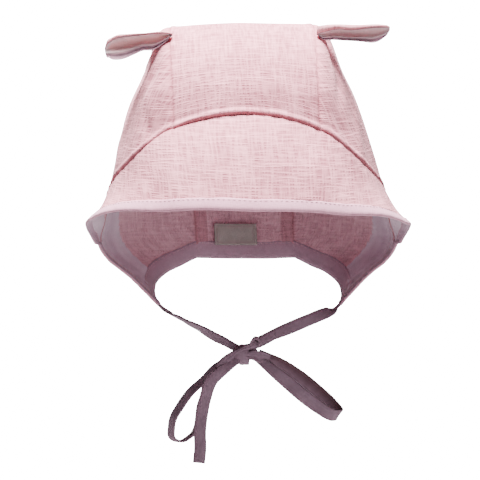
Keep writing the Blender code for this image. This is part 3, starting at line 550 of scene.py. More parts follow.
# Distance from a seam in mm and share of the relief there
PUFFED_EDGE = ((0.0, 0.30), (0.5, 0.66), (1.3, 1.0), (2.1, 0.98), (3.0, 0.70), (3.8, 0.08),
               (4.6, -0.14), (6.5, 0.0))
PRESSED_EDGE = ((0.0, -1.0), (0.5, -0.35), (1.1, 0.55), (2.2, 0.70), (3.4, 0.50), (4.4, 0.05),
                (6.0, 0.0))
TUCKED_EDGE = ((0.0, -1.0), (0.8, -0.75), (2.2, -0.25), (4.5, 0.0))


def relief(distance, profile, height):
    """Height of a seam's relief at a distance from it."""
    at, share = np.array(profile).T
    return height * np.interp(distance * 1000.0, at, share)


def pucker(along, distance, pitch, height, reach, seed):
    """Small gathers along a seam: they fade out over a reach from it."""
    wander = np.array([noise.noise(Vector((a / pitch / 3.1, seed, 0.0))) for a in along])
    wave = np.sin(2.0 * math.pi * along / pitch + 4.0 * wander + seed)
    return height * wave * (0.6 + 0.8 * wander) * np.exp(-(distance / reach) ** 2)


print("relief profiles", len(PUFFED_EDGE), len(PRESSED_EDGE), len(TUCKED_EDGE))

# %% [markdown]
# ## Shader node groups
#
# Linen is woven from uneven yarn: some threads are thick and pale, some thin, and the light
# catches them one by one. One group makes that from two sets of stretched noise, one for each
# thread direction, in the coordinates of the flat cloth. A second group gives the masks for
# painted shade at a seam: a dark crease on its line and a darker band beside it. A third gives
# the slow unevenness of dyed cloth. Each material places them with its own values.


# %% Tools for building node trees
def group_with(name, inputs, outputs):
    """An empty shader group with named sockets, and its input and output nodes."""
    group = bpy.data.node_groups.new(name, "ShaderNodeTree")
    for socket, kind, value in inputs:
        made = group.interface.new_socket(socket, in_out="INPUT", socket_type=kind)
        if value is not None:
            made.default_value = value
    for socket, kind in outputs:
        group.interface.new_socket(socket, in_out="OUTPUT", socket_type=kind)
    return group, group.nodes.new("NodeGroupInput"), group.nodes.new("NodeGroupOutput")


def wire(tree, source, target):
    """Join an output to an input, or set the input to a plain value."""
    if isinstance(source, bpy.types.NodeSocket):
        tree.links.new(source, target)
    else:
        target.default_value = source


def maths(tree, operation, *values):
    node = tree.nodes.new("ShaderNodeMath")
    node.operation = operation
    for socket, value in zip(node.inputs, values):
        wire(tree, value, socket)
    return node.outputs[0]


def stretched_noise(tree, place, scale, detail, roughness):
    """Noise on a vector that is first scaled along each of its axes."""
    product = tree.nodes.new("ShaderNodeVectorMath")
    product.operation = "MULTIPLY"
    wire(tree, place, product.inputs[0])
    wire(tree, scale, product.inputs[1])
    node = tree.nodes.new("ShaderNodeTexNoise")
    node.inputs["Scale"].default_value = 1.0
    node.inputs["Detail"].default_value = detail
    node.inputs["Roughness"].default_value = roughness
    wire(tree, product.outputs[0], node.inputs["Vector"])
    return node.outputs["Fac"]


def remap(tree, value, low, high, to_low=0.0, to_high=1.0):
    node = tree.nodes.new("ShaderNodeMapRange")
    for socket, number in zip(node.inputs, (value, low, high, to_low, to_high)):
        wire(tree, number, socket)
    return node.outputs[0]


print("shader groups so far", len(bpy.data.node_groups))

# %% The woven thread group
THREAD_STRETCH = 0.10
SLUB_SCALE = 0.36
FINE_RANGE = (0.40, 0.60)
SLUB_RANGE = (0.52, 0.70)
SHADE_GAIN = 0.38
HEIGHT_GAIN = 0.6


def woven_threads_group():
    """Uneven threads both ways: a shade from 0 to 1 and a height from 0 to 1."""
    group, given, made = group_with(
        "woven_threads",
        [
            ("Flat Place", "NodeSocketVector", None),
            ("Threads a Metre", "NodeSocketFloat", 800.0),
            ("Slub", "NodeSocketFloat", 0.6),
        ],
        [("Shade", "NodeSocketFloat"), ("Height", "NodeSocketFloat")],
    )
    place = given.outputs["Flat Place"]
    dense = given.outputs["Threads a Metre"]
    ways = []
    for along_share, across_share in ((THREAD_STRETCH, 1.0), (1.0, THREAD_STRETCH)):
        scale = group.nodes.new("ShaderNodeCombineXYZ")
        wire(group, maths(group, "MULTIPLY", dense, along_share), scale.inputs[0])
        wire(group, maths(group, "MULTIPLY", dense, across_share), scale.inputs[1])
        wire(group, 1.0, scale.inputs[2])
        fine = stretched_noise(group, place, scale.outputs[0], 1.0, 0.5)
        slower = group.nodes.new("ShaderNodeVectorMath")
        slower.operation = "SCALE"
        wire(group, scale.outputs[0], slower.inputs[0])
        slower.inputs["Scale"].default_value = SLUB_SCALE
        slub = stretched_noise(group, place, slower.outputs[0], 2.0, 0.6)
        slubs = remap(group, slub, *SLUB_RANGE)
        thick = maths(group, "MULTIPLY", slubs, given.outputs["Slub"])
        ways.append(maths(group, "ADD", remap(group, fine, *FINE_RANGE), thick))
    both = maths(group, "ADD", ways[0], ways[1])
    top = maths(group, "MAXIMUM", ways[0], ways[1])
    shade = maths(group, "MULTIPLY", both, SHADE_GAIN)
    wire(group, maths(group, "MINIMUM", shade, 1.0), made.inputs["Shade"])
    wire(group, maths(group, "MULTIPLY", top, HEIGHT_GAIN), made.inputs["Height"])
    return group


WOVEN_THREADS = woven_threads_group()
print("woven_threads", len(WOVEN_THREADS.nodes), "nodes")


# %% The seam and dye groups
def seam_shading_group():
    """Masks for painted shade by distance from a seam: a narrow one on its crease, a wider one
    beside it.
    """
    group, given, made = group_with(
        "seam_shading",
        [
            ("Distance", "NodeSocketFloat", 0.02),
            ("Groove Width", "NodeSocketFloat", 0.0011),
            ("Press Width", "NodeSocketFloat", 0.0026),
        ],
        [("Groove", "NodeSocketFloat"), ("Near Shade", "NodeSocketFloat")],
    )
    distance = given.outputs["Distance"]
    painted_crease = remap(group, maths(group, "DIVIDE", distance, given.outputs["Groove Width"]),
                   0.25, 1.0, 1.0, 0.0)
    beside_shade = remap(group, maths(group, "DIVIDE", distance, given.outputs["Press Width"]),
                    0.20, 1.0, 1.0, 0.0)
    wire(group, painted_crease, made.inputs["Groove"])
    wire(group, beside_shade, made.inputs["Near Shade"])
    return group


def dye_unevenness_group():
    """Slow lighter and darker patches in the cloth, in the place of the flat cloth."""
    group, given, made = group_with(
        "dye_unevenness",
        [
            ("Flat Place", "NodeSocketVector", None),
            ("Patches a Metre", "NodeSocketFloat", 60.0),
            ("Streak", "NodeSocketFloat", 0.25),
        ],
        [("Patch", "NodeSocketFloat")],
    )
    scale = group.nodes.new("ShaderNodeCombineXYZ")
    wire(group, given.outputs["Patches a Metre"], scale.inputs[0])
    streak = maths(group, "MULTIPLY", given.outputs["Patches a Metre"], given.outputs["Streak"])
    wire(group, streak, scale.inputs[1])
    wire(group, 1.0, scale.inputs[2])
    patch = stretched_noise(group, given.outputs["Flat Place"], scale.outputs[0], 3.0, 0.55)
    wire(group, remap(group, patch, 0.30, 0.70), made.inputs["Patch"])
    return group


SEAM_SHADING = seam_shading_group()
DYE_UNEVENNESS = dye_unevenness_group()
print("shader groups", len(bpy.data.node_groups))

# %% [markdown]
# ## Cloth materials
#
# Dusty pink linen outside, the same cloth calmer and less pink where it is seen from inside, a
# smooth mauve facing along its front edges, smooth binding tape whose inside leg is painted
# darker as shade, ties of the same tape painted a much darker mauve as shade, and a grey
# label. Each could have a node tree of its own, but one recipe keeps them kin: threads, dye
# patches and painted seam shade mix two or three colours, and the threads' height drives a bump.
# Inside, the doubled cloth of a seam allowance is painted darker as shade, and the facing
# hides most of the weave. Sheen is a plain number on the shader, as the export wants it.


# %% The cloth recipe
def fact_socket(tree, name, vector=False):
    node = tree.nodes.new("ShaderNodeAttribute")
    node.attribute_name = name
    return node.outputs["Vector" if vector else "Fac"]


def mix_colours(tree, share, low, high, blend="MIX"):
    node = tree.nodes.new("ShaderNodeMix")
    node.data_type = "RGBA"
    node.blend_type = blend
    wire(tree, share, node.inputs["Factor"])
    wire(tree, low, node.inputs[6])
    wire(tree, high, node.inputs[7])
    return node.outputs[2]


def place_group(tree, group, values):
    node = tree.nodes.new("ShaderNodeGroup")
    node.node_tree = group
    for socket, value in values.items():
        wire(tree, value, node.inputs[socket])
    return node.outputs


# Painted shade beside a seam: the colour the cloth is multiplied by there, and how much of it.
SEAM_SHADE_TINT = (0.90, 0.70, 0.74, 1.0)
SEAM_SHADE_SHARE = 0.80
INSIDE_CALM = 0.55
FACING_BUMP = 0.25
ROUGH_SWING = 0.06
SHEEN_ROUGHNESS = 0.5
CLOTH_SPECULAR = 0.18


def cloth_material(name, deep, pale, painted_crease, inside=None, threads=800.0, slub=0.6,
                   patches=60.0, streak=0.25, patch_share=0.30, bump=0.00034, sheen=0.10,
                   rough=0.88, groove_width=0.0011, shaded_band=None, facing=None):
    """A woven cloth: deep and pale threads, painted shade in and beside its seams, its inside
    tint.
    """
    material = bpy.data.materials.new(name)
    material.use_nodes = True
    tree = material.node_tree
    shader = tree.nodes["Principled BSDF"]
    place = fact_socket(tree, "flat_place", vector=True)
    weave = place_group(tree, WOVEN_THREADS, {
        "Flat Place": place, "Threads a Metre": threads, "Slub": slub})
    dye = place_group(tree, DYE_UNEVENNESS, {
        "Flat Place": place, "Patches a Metre": patches, "Streak": streak})
    seam = place_group(tree, SEAM_SHADING, {
        "Distance": fact_socket(tree, "seam_distance"), "Groove Width": groove_width})
    patch = maths(tree, "MULTIPLY", dye["Patch"], patch_share)
    shade = maths(tree, "ADD", maths(tree, "MULTIPLY", weave["Shade"], 1.0 - patch_share), patch)
    within = fact_socket(tree, "inside")
    even = maths(tree, "MULTIPLY", within, INSIDE_CALM)
    shade = maths(tree, "ADD", maths(tree, "MULTIPLY", even, 0.5),
                  maths(tree, "MULTIPLY", shade, maths(tree, "SUBTRACT", 1.0, even)))
    colour = mix_colours(tree, shade, deep, pale)
    # The inside tint; for the tape and the ties it is painted shade.
    if inside is not None:
        colour = mix_colours(tree, within, colour,
                             mix_colours(tree, 1.0, colour, inside, "MULTIPLY"))
    # Painted shade on the shaded band: the doubled cloth of a seam allowance inside, and the
    # ears' lower lining.
    if shaded_band is not None:
        under = maths(tree, "MULTIPLY", fact_socket(tree, "shaded_band"), within)
        colour = mix_colours(tree, under, colour,
                             mix_colours(tree, 1.0, colour, shaded_band, "MULTIPLY"))
    relief_height = weave["Height"]
    if facing is not None:
        faced = maths(tree, "MULTIPLY", fact_socket(tree, "faced"), within)
        colour = mix_colours(tree, faced, colour, mix_colours(tree, dye["Patch"], *facing))
        plain = remap(tree, faced, 0.0, 1.0, 1.0, FACING_BUMP)
        relief_height = maths(tree, "MULTIPLY", relief_height, plain)
    # Painted shade along a seam or crease: a darker, pinker band beside it and the crease colour
    # on its line.
    crease_shade_mask = maths(tree, "MULTIPLY", seam["Groove"], fact_socket(tree, "crease_paint_share"))
    near = maths(tree, "MULTIPLY", seam["Near Shade"], fact_socket(tree, "crease_paint_share"))
    beside_seam_shaded = mix_colours(tree, 1.0, colour, SEAM_SHADE_TINT, "MULTIPLY")
    colour = mix_colours(tree, maths(tree, "MULTIPLY", near, SEAM_SHADE_SHARE), colour, beside_seam_shaded)
    colour = mix_colours(tree, crease_shade_mask, colour, painted_crease)
    wire(tree, colour, shader.inputs["Base Color"])
    dull = remap(tree, weave["Height"], 0.0, 1.0, rough + ROUGH_SWING, rough - ROUGH_SWING)
    wire(tree, dull, shader.inputs["Roughness"])
    lift = tree.nodes.new("ShaderNodeBump")
    lift.inputs["Strength"].default_value = 1.0
    lift.inputs["Distance"].default_value = bump
    wire(tree, relief_height, lift.inputs["Height"])
    wire(tree, lift.outputs["Normal"], shader.inputs["Normal"])
    shader.inputs["Sheen Weight"].default_value = sheen
    shader.inputs["Sheen Roughness"].default_value = SHEEN_ROUGHNESS
    shader.inputs["Specular IOR Level"].default_value = CLOTH_SPECULAR
    return material


print("tint near a seam", SEAM_SHADE_TINT[:3], "and its share", SEAM_SHADE_SHARE)

# %% The bonnet's cloths
FACING = ((0.440, 0.325, 0.415, 1.0), (0.580, 0.455, 0.545, 1.0))
# The linen's shaded band, inside along the seam allowances, is painted darker as shade.
LINEN = cloth_material(
    "linen", (0.370, 0.122, 0.160, 1.0), (0.970, 0.425, 0.500, 1.0), (0.320, 0.115, 0.140, 1.0),
    inside=(0.80, 1.12, 1.12, 1.0), shaded_band=(0.78, 0.67, 0.69, 1.0), facing=FACING)
BRIM_LINEN = cloth_material(
    "brim_linen", (0.380, 0.126, 0.165, 1.0), (0.980, 0.435, 0.510, 1.0),
    (0.320, 0.115, 0.140, 1.0), inside=(0.78, 1.12, 1.12, 1.0), facing=FACING)
# The tape's inside leg is painted darker and less pink, as shade.
TAPE = cloth_material(
    "tape", (0.600, 0.280, 0.390, 1.0), (0.840, 0.460, 0.590, 1.0), (0.360, 0.180, 0.220, 1.0),
    inside=(0.53, 0.68, 0.67, 1.0), threads=2300.0, slub=0.15, patches=45.0, streak=1.0,
    bump=0.00004, sheen=0.15, groove_width=0.0006)
# The ties are the same tape painted much darker, as shade, and darker still inside the bow's
# loops.
TIE_TAPE = cloth_material(
    "tie_tape", (0.205, 0.125, 0.175, 1.0), (0.295, 0.200, 0.262, 1.0),
    (0.080, 0.035, 0.050, 1.0), inside=(0.58, 0.46, 0.44, 1.0), threads=2300.0, slub=0.15,
    patches=60.0, streak=0.4, bump=0.00004, sheen=0.15, groove_width=0.0006)
EAR_LINEN = cloth_material(
    "ear_linen", (0.500, 0.170, 0.210, 1.0), (0.960, 0.500, 0.550, 1.0),
    (0.340, 0.170, 0.180, 1.0), threads=1100.0)
# The lining's lower band is painted darker and more mauve, as shade.
EAR_LINING = cloth_material(
    "ear_lining", (0.580, 0.430, 0.470, 1.0), (0.860, 0.720, 0.760, 1.0),
    (0.860, 0.420, 0.410, 1.0), shaded_band=(0.62, 0.48, 0.56, 1.0), threads=1900.0, slub=0.25,
    bump=0.00015, groove_width=0.0046)
LABEL_CLOTH = cloth_material(
    "label_cloth", (0.255, 0.232, 0.224, 1.0), (0.345, 0.318, 0.308, 1.0),
    (0.110, 0.080, 0.080, 1.0), threads=2600.0, slub=0.1, bump=0.00003, sheen=0.05,
    groove_width=0.0008)
SEWING_THREAD = cloth_material(
    "sewing_thread", (0.560, 0.340, 0.400, 1.0), (0.700, 0.480, 0.540, 1.0),
    (0.500, 0.330, 0.380, 1.0), threads=5000.0, slub=0.0, bump=0.00002, sheen=0.2)
# Thread as dark as the ties' painted shade.
TIE_THREAD = cloth_material(
    "tie_thread", (0.200, 0.115, 0.160, 1.0), (0.300, 0.190, 0.250, 1.0),
    (0.080, 0.035, 0.050, 1.0), threads=5000.0, slub=0.0, bump=0.00002, sheen=0.2)
print("materials", len(bpy.data.materials))

# %% [markdown]
# ## The crown strip
#
# One long piece of linen runs from the brim seam over the head to the nape. It is sewn to the
# side panels with its seam allowances pressed inward, which shows as a faint raised band
# beside each seam, and inside as a band painted darker as shade. At its front the brim seam
# puffs up into a soft ridge with a dark line under it: the ridge's own shadow, deepened with
# painted shade. A flat strip could be bent by a Curve modifier; a form function gives the
# crowning and the dip of the front edge at the same time.

# %% The seam lines
BRIM_STATIONS = 16
STRIP_PART = 3
DOME_PART = 12


def brim_seam(place):
    """Inside point of the brim seam's right half: place runs from 0 at the front centre,
    over 3 at the strip's corner and 12 at the side, to 16 at the brim's end."""
    across = np.clip(place / STRIP_PART, 0.0, 1.0)
    on_strip = strip_point(strip_share(np.zeros_like(place), across), across)
    turn = np.clip((place - STRIP_PART) / (DOME_PART - STRIP_PART), 0.0, 1.0) * QUARTER
    down = np.clip((place - DOME_PART) / (BRIM_STATIONS - DOME_PART), 0.0, 1.0)
    height = waist_z(turn)
    end = height + (hem_z(np.full_like(place, QUARTER)) - height) * BRIM_END_SHARE
    height = np.where(place > DOME_PART, height + (end - height) * down, height)
    on_side = side_point(turn, height)
    return np.where((place < STRIP_PART)[..., None], on_strip, on_side)


BRIM_SEAM_LINE = brim_seam(np.linspace(0.0, BRIM_STATIONS, 1600))
STRIP_SEAM_LINE = strip_point(np.linspace(0.0, 1.0, 1200), np.ones(1200))
RIDGE_HEIGHT = 0.00120
# How strongly painted shade darkens the brim seam and the side seams.
BRIM_SEAM_SHADE = 0.78
SIDE_SEAM_SHADE = 0.35
BAND_HEIGHT = 0.00042
ALLOWANCE = 0.0085
ALLOWANCE_STEP = 0.00045
LAYER_EDGE = 0.0006
MIRROR = np.array((-1.0, 1.0, 1.0))


def right_half(points):
    """Points folded over to the right half, where the seam lines are kept."""
    return points * np.where(points[..., :1] < 0.0, -1.0, 1.0) ** np.array((1, 0, 0))


print("brim seam half", round(float(np.linalg.norm(
    np.diff(BRIM_SEAM_LINE, axis=0), axis=1).sum()) * 1000), "mm")

# %% The crown strip
# coarse and fine spacing of the grid and the reach of the fine one, in metres
STRIP_ROW_SPACING = (1.4e-3, 0.35e-3, 9e-3)
STRIP_COLUMN_SPACING = (1.4e-3, 0.4e-3, 8e-3)
# layers of height, lump sizes along x, y and z in metres, and seed
STRIP_DRAPE = ((0.0012, (0.050, 0.06, 0.030), 3.0), (0.00045, (0.022, 0.03, 0.011), 9.0))
STRIP_CALM = 0.008
# pitch, height and reach of gathers along a seam, in metres
STRIP_BRIM_GATHERS = (0.0085, 0.00022, 0.009)
STRIP_SIDE_GATHERS = (0.0090, 0.00012, 0.006)
RIDGE_LUMPS = (0.009, 0.009, 0.009)
STRIP_RIDGE_SWING = 0.22


def crown_strip():
    rows = stations(STRIP_LINE.length, *STRIP_ROW_SPACING)
    columns = 2.0 * stations(STRIP_WIDTH_TOP, *STRIP_COLUMN_SPACING) - 1.0
    share, across = np.meshgrid(rows, columns, indexing="ij")
    inner = strip_point(strip_share(share, across), across)
    shape = share.shape
    inner = inner.reshape(-1, 3)
    quads = grid_quads(*shape, flip=True)
    normals = point_normals(inner, quads)
    folded = right_half(inner)
    to_side = distance_to(folded, STRIP_SEAM_LINE)
    to_brim = distance_to(folded, BRIM_SEAM_LINE)
    along = (share * STRIP_LINE.length).ravel()
    sideways = (across * strip_half_width(share)).ravel()
    drape = soft_drape(inner, STRIP_DRAPE) * ease(to_side / STRIP_CALM)
    outside = CLOTH + relief(to_side, PRESSED_EDGE, BAND_HEIGHT)
    ridge = relief(to_brim, PUFFED_EDGE, RIDGE_HEIGHT)
    ridge *= 1.0 + STRIP_RIDGE_SWING * soft_noise(inner, RIDGE_LUMPS, 5.0)
    outside += ridge
    outside += pucker(sideways, to_brim, *STRIP_BRIM_GATHERS, 2.0)
    outside += pucker(along, to_side, *STRIP_SIDE_GATHERS, 7.0)
    # The allowance band steps the inside face in and is painted darker as shade.
    shaded_band = 1.0 - ease((to_side - ALLOWANCE) / LAYER_EDGE)
    inside = -ALLOWANCE_STEP * shaded_band
    facts = {
        "flat_place": np.stack((sideways, along, np.zeros_like(along)), axis=-1),
        "seam_distance": np.minimum(to_side, to_brim),
        "crease_paint_share": np.where(to_brim < to_side, BRIM_SEAM_SHADE, SIDE_SEAM_SHADE),
        "shaded_band": shaded_band,
    }
    outer = worn(inner + normals * (outside + drape)[:, None])
    inner = worn(inner + normals * (inside + drape)[:, None])
    wall = cloth_wall("crown_strip_cloth", inner, outer, quads, [LINEN], facts)
    return finish_piece(wall, "linen", "crown_strip")


crown_strip()

# %% [markdown]
# ## The side panels and flaps
#
# Each side is one piece: a half dome over the ear that carries on down behind the brim into
# a flap. It is the softest part of the crown, so it has the deepest folds: a drag down from
# under the ear, and a few shallow ones that gather towards the brim seam. Inside, a smooth
# facing runs down its front edge, with a sewn line in it. The flat cloth's threads run
# straight down the panel, so the thread coordinate across is measured round the head at each
# height, starting from the middle of the side.
#
# The panel could be a patch between four edge curves. Here it is a stack of level rings
# instead, so that one turn and one height name a point of it. The first ring lies just below
# the top, and a row on the strip's seam closes the small gap above it.

# %% The side panels' flat cloth
FLAT_TURNS = np.linspace(0.0, math.pi, 61)
FLAT_HEIGHTS = np.linspace(TOP_Z, -FLAP_DROP - 0.012, 60)


def flat_tables():
    """How far round each height a turn is, from the middle of the side, and how far down."""
    turn, z = np.meshgrid(FLAT_TURNS, FLAT_HEIGHTS, indexing="ij")
    points = side_point(turn, z)
    round_by = np.linalg.norm(np.diff(points[..., :2], axis=0), axis=-1)
    run = np.concatenate((np.zeros((1, len(FLAT_HEIGHTS))), np.cumsum(round_by, axis=0)))
    run -= run[len(FLAT_TURNS) // 2]
    middle = points[len(FLAT_TURNS) // 2]
    down_by = np.linalg.norm(np.diff(middle, axis=0), axis=-1)
    return run, np.concatenate(([0.0], np.cumsum(down_by)))


FLAT_ROUND, FLAT_DOWN = flat_tables()
print("side cloth", round(float(FLAT_DOWN[-1]) * 1000), "mm down its middle")


def flat_place(turn, z):
    """Place in the flat cloth of points of a side panel."""
    i = np.clip(turn / math.pi * (len(FLAT_TURNS) - 1), 0.0, len(FLAT_TURNS) - 1.001)
    j = np.interp(-z, -FLAT_HEIGHTS, np.arange(len(FLAT_HEIGHTS)))
    j = np.clip(j, 0.0, len(FLAT_HEIGHTS) - 1.001)
    i0, j0 = i.astype(int), j.astype(int)
    fi, fj = i - i0, j - j0
    low = FLAT_ROUND[i0, j0] * (1 - fi) + FLAT_ROUND[i0 + 1, j0] * fi
    high = FLAT_ROUND[i0, j0 + 1] * (1 - fi) + FLAT_ROUND[i0 + 1, j0 + 1] * fi
    return low * (1 - fj) + high * fj, np.interp(-z, -FLAT_HEIGHTS, FLAT_DOWN)


# %% Folds, facing and grid of the side panels
# turn share, height share, spread along and across, lean of the fold, depth in mm
SIDE_FOLDS = {
    -1: ((0.24, 0.065, 0.22, 0.014, 1.4, -1.7), (0.26, 0.105, 0.20, 0.014, 1.3, 1.1),
         (0.20, 0.21, 0.13, 0.026, 0.8, -1.5), (0.33, 0.30, 0.16, 0.030, 0.6, 1.4),
         (0.14, 0.40, 0.10, 0.030, -0.6, -1.3), (0.40, 0.50, 0.15, 0.036, -0.4, 1.2),
         (0.70, 0.45, 0.22, 0.026, 0.2, -1.6), (0.79, 0.62, 0.22, 0.020, 0.1, 2.0),
         (0.87, 0.58, 0.20, 0.018, -0.1, -1.5)),
    1: ((0.24, 0.125, 0.05, 0.030, 0.2, -1.8), (0.20, 0.235, 0.06, 0.028, -0.8, -1.8),
        (0.16, 0.40, 0.09, 0.024, 0.5, -1.6), (0.30, 0.34, 0.13, 0.028, -0.5, 1.4),
        (0.12, 0.52, 0.08, 0.024, 0.4, -1.4), (0.68, 0.45, 0.22, 0.028, -0.2, -1.6),
        (0.80, 0.60, 0.22, 0.020, -0.1, 1.8)),
}
FACING_WIDTH = 0.0340
FACING_SEAM = 0.0140
FACING_STEP = 0.0003
FACING_EDGE = 0.0005
FACING_RIDGE = 0.0006
FACING_RIDGE_WIDTH = 0.0009
FLAP_FRONT_LINE = side_point(
    np.full(400, QUARTER), np.linspace(-SIDE_DROP, float(hem_z(np.array(QUARTER))), 400))
# length, coarse and fine spacing and reach of the fine one, in metres
QUARTER_SPACING = (0.095, 1.7e-3, 0.4e-3, 7e-3)
DOME_SPACING = (0.120, 1.6e-3, 0.4e-3, 9e-3)
FLAP_SPACING = (0.062, 1.6e-3, 0.5e-3, 6e-3)
SIDE_DRAPE = ((0.0013, (0.030, 0.035, 0.050), 0.0), (0.00050, (0.012, 0.014, 0.030), 4.0))
SIDE_CALM = 0.010
SIDE_RIDGE_SHARE = 0.85
SIDE_RIDGE_SWING = 0.25
SIDE_TUCK = 0.00035
SIDE_BRIM_GATHERS = (0.0095, 0.00025, 0.010)
SIDE_STRIP_GATHERS = (0.0085, 0.00014, 0.007)
FACING_GATHERS = (0.0040, 0.00020, 0.003)
BRIM_ALLOWANCE = 0.0075
BRIM_ALLOWANCE_STEP = 0.0004
# the row that closes a panel's top: points of the seam used on each side of the top, and the
# share of the first ring's y at which its points lie
SEAM_ROW_SPAN = 60
SEAM_ROW_REACH = 0.98


def seam_row(ring):
    """Points on the strip's seam beside a panel's first ring, which close the panel's top."""
    near = slice(SEAM_TOP - SEAM_ROW_SPAN, SEAM_TOP + SEAM_ROW_SPAN)
    share = np.interp(ring[:, 1] * SEAM_ROW_REACH, SEAM_POINTS[near, 1], SEAM_SHARES[near])
    return strip_point(share, np.ones_like(share))


print("folds left and right", len(SIDE_FOLDS[-1]), len(SIDE_FOLDS[1]))


# %% The side panels
def side_panel(name, sign, node, seed):
    half = stations(*QUARTER_SPACING)
    turns = np.concatenate((half * QUARTER, QUARTER + half[1:] * QUARTER))
    middle = len(half) - 1
    dome = stations(*DOME_SPACING, start=False)[1:]
    flap = stations(*FLAP_SPACING)[1:]
    top = waist_z(turns)[None, :]
    dome_z = TOP_Z + (top - TOP_Z) * dome[:, None] ** DOME_SPREAD
    flap_z = top + (hem_z(turns)[None, :] - top) * flap[:, None]
    closing = seam_row(side_point(turns, dome_z[0]))
    z = np.concatenate((closing[None, :, 2], dome_z, flap_z))
    turn = np.broadcast_to(turns, z.shape)
    keep = np.ones((z.shape[0] - 1, z.shape[1] - 1), bool)
    keep[len(dome):, :middle] = False
    inner = np.concatenate((closing, side_point(turn[1:], z[1:]).reshape(-1, 3)))
    quads = grid_quads(*z.shape, keep=keep)
    normals = point_normals(inner, quads)
    turn, z = turn.ravel(), z.ravel()
    to_strip = distance_to(inner, STRIP_SEAM_LINE)
    to_brim = distance_to(inner, BRIM_SEAM_LINE)
    to_front = distance_to(inner, FLAP_FRONT_LINE)
    across, down = flat_place(turn, z)
    own = inner * (sign, 1.0, 1.0)
    drape = soft_drape(own, SIDE_DRAPE, seed)
    height = -z / FLAP_DROP
    for at_turn, at_height, long, thin, lean, deep in SIDE_FOLDS[sign]:
        aside = turn / math.pi - at_turn
        below = height - at_height
        beside = aside * math.cos(lean) - below * math.sin(lean)
        ahead = aside * math.sin(lean) + below * math.cos(lean)
        drape += 0.001 * deep * np.exp(-(beside / thin) ** 2 - (ahead / long) ** 2)
    drape *= ease(to_strip / SIDE_CALM) * (0.35 + 0.65 * ease(to_brim / SIDE_CALM))
    outside = CLOTH + relief(to_strip, TUCKED_EDGE, SIDE_TUCK)
    ridge = relief(to_brim, PUFFED_EDGE, RIDGE_HEIGHT * SIDE_RIDGE_SHARE)
    ridge *= 1.0 + SIDE_RIDGE_SWING * soft_noise(own, RIDGE_LUMPS, seed + 2.0)
    outside += ridge
    outside += pucker(across, to_brim, *SIDE_BRIM_GATHERS, seed)
    outside += pucker(down, to_strip, *SIDE_STRIP_GATHERS, seed + 1.0)
    # Seams get painted shade in their creases, and the brim allowance band is painted darker
    # inside as shade.
    facts = {
        "flat_place": np.stack((across, down, np.full_like(down, 0.05 * seed)), axis=-1),
        "seam_distance": np.minimum(to_strip, to_brim),
        "crease_paint_share": np.where(to_brim < to_strip, BRIM_SEAM_SHADE, SIDE_SEAM_SHADE),
        "shaded_band": 1.0 - ease((to_brim - BRIM_ALLOWANCE) / LAYER_EDGE),
        "faced": 1.0 - ease((to_front - FACING_WIDTH) / FACING_EDGE),
    }
    sewn = np.abs(to_front - FACING_SEAM)
    outer = worn((inner + normals * (outside + drape)[:, None]) * (sign, 1.0, 1.0))
    inside = -BRIM_ALLOWANCE_STEP * facts["shaded_band"] - FACING_STEP * facts["faced"]
    inside += FACING_RIDGE * np.exp(-(sewn / FACING_RIDGE_WIDTH) ** 2)
    inside += pucker(down, sewn, *FACING_GATHERS, seed + 2.0)
    inner = worn((inner + normals * (inside + drape)[:, None]) * (sign, 1.0, 1.0))
    if sign < 0:
        quads = quads[:, ::-1]
    wall = cloth_wall(name, inner, outer, quads, [LINEN], facts)
    return finish_piece(wall, "linen", node)


side_panel("side_panel_right_cloth", 1, "side_panel_right", 21.0)
side_panel("side_panel_left_cloth", -1, "side_panel_left", 34.0)

# %% [markdown]
# ## The brim
#
# The brim is two layers of linen, cut on a curve and sewn to the crown, scooped forward and
# down like a small roof. It is laid rib by rib from the seam to the tape, with the same roll
# as the CAD solid and a gentle wave along its free edge. A surface lofted between two curves
# would do too, but its ribs wouldn't meet the crown's seam point for point. Its outer face
# starts a little under the crown's puffed edge, which casts the dark line of the seam, and
# painted shade under the ridge deepens it. On its underside a band along the tape is smooth,
# as the flaps' facing is.

# %% The brim's ribs
RIBS_A_STATION = 12


def brim_ribs():
    """Start, way and outward direction of each rib of the right half, and the stations."""
    places = np.linspace(0.0, BRIM_STATIONS, BRIM_STATIONS * RIBS_A_STATION + 1)
    seam = brim_seam(places)
    run = np.concatenate(([0.0], np.cumsum(np.linalg.norm(np.diff(seam, axis=0), axis=1))))
    edge = SmoothLine([
        (x * BRIM_HALF_WIDTH, y * BRIM_FORWARD, z * BRIM_EDGE_DROP) for x, y, z in BRIM_EDGE
    ])
    end = edge.at(run / run[-1])
    along = unit(end - seam)
    length = np.linalg.norm(end - seam, axis=1) - FACE_TAPE_WIDTH - 2.0 * SEAM_GAP
    length = np.maximum(length, BRIM_TIP)
    swell = along * (1.0, 1.0, 0.0)
    outward = unit(np.cross(np.cross(along, swell), along))
    return places, seam + along * SEAM_GAP, along * length[:, None], outward


def brim_surface(shares):
    """Inside points of the whole brim: rows are shares of the ribs, columns the ribs."""
    places, start, way, outward = brim_ribs()
    station = places / BRIM_STATIONS
    length = np.linalg.norm(way, axis=1)
    roll = BRIM_ROLL_SHARE * (1.0 - 2.0 * ease(station / BRIM_ROLL_TURN)) * length
    wave = BRIM_WAVE * np.sin(2.0 * math.pi * BRIM_WAVES * station) * (1.0 - station) ** 0.5
    share = shares[:, None]
    lift = roll * np.sin(math.pi * share) + wave * share * share
    right = start + way * share[..., None] + outward * lift[..., None]
    left = right[:, :0:-1] * MIRROR
    return np.concatenate((left, right), axis=1)


print("brim", brim_surface(np.array((0.0, 1.0))).shape[1], "ribs")

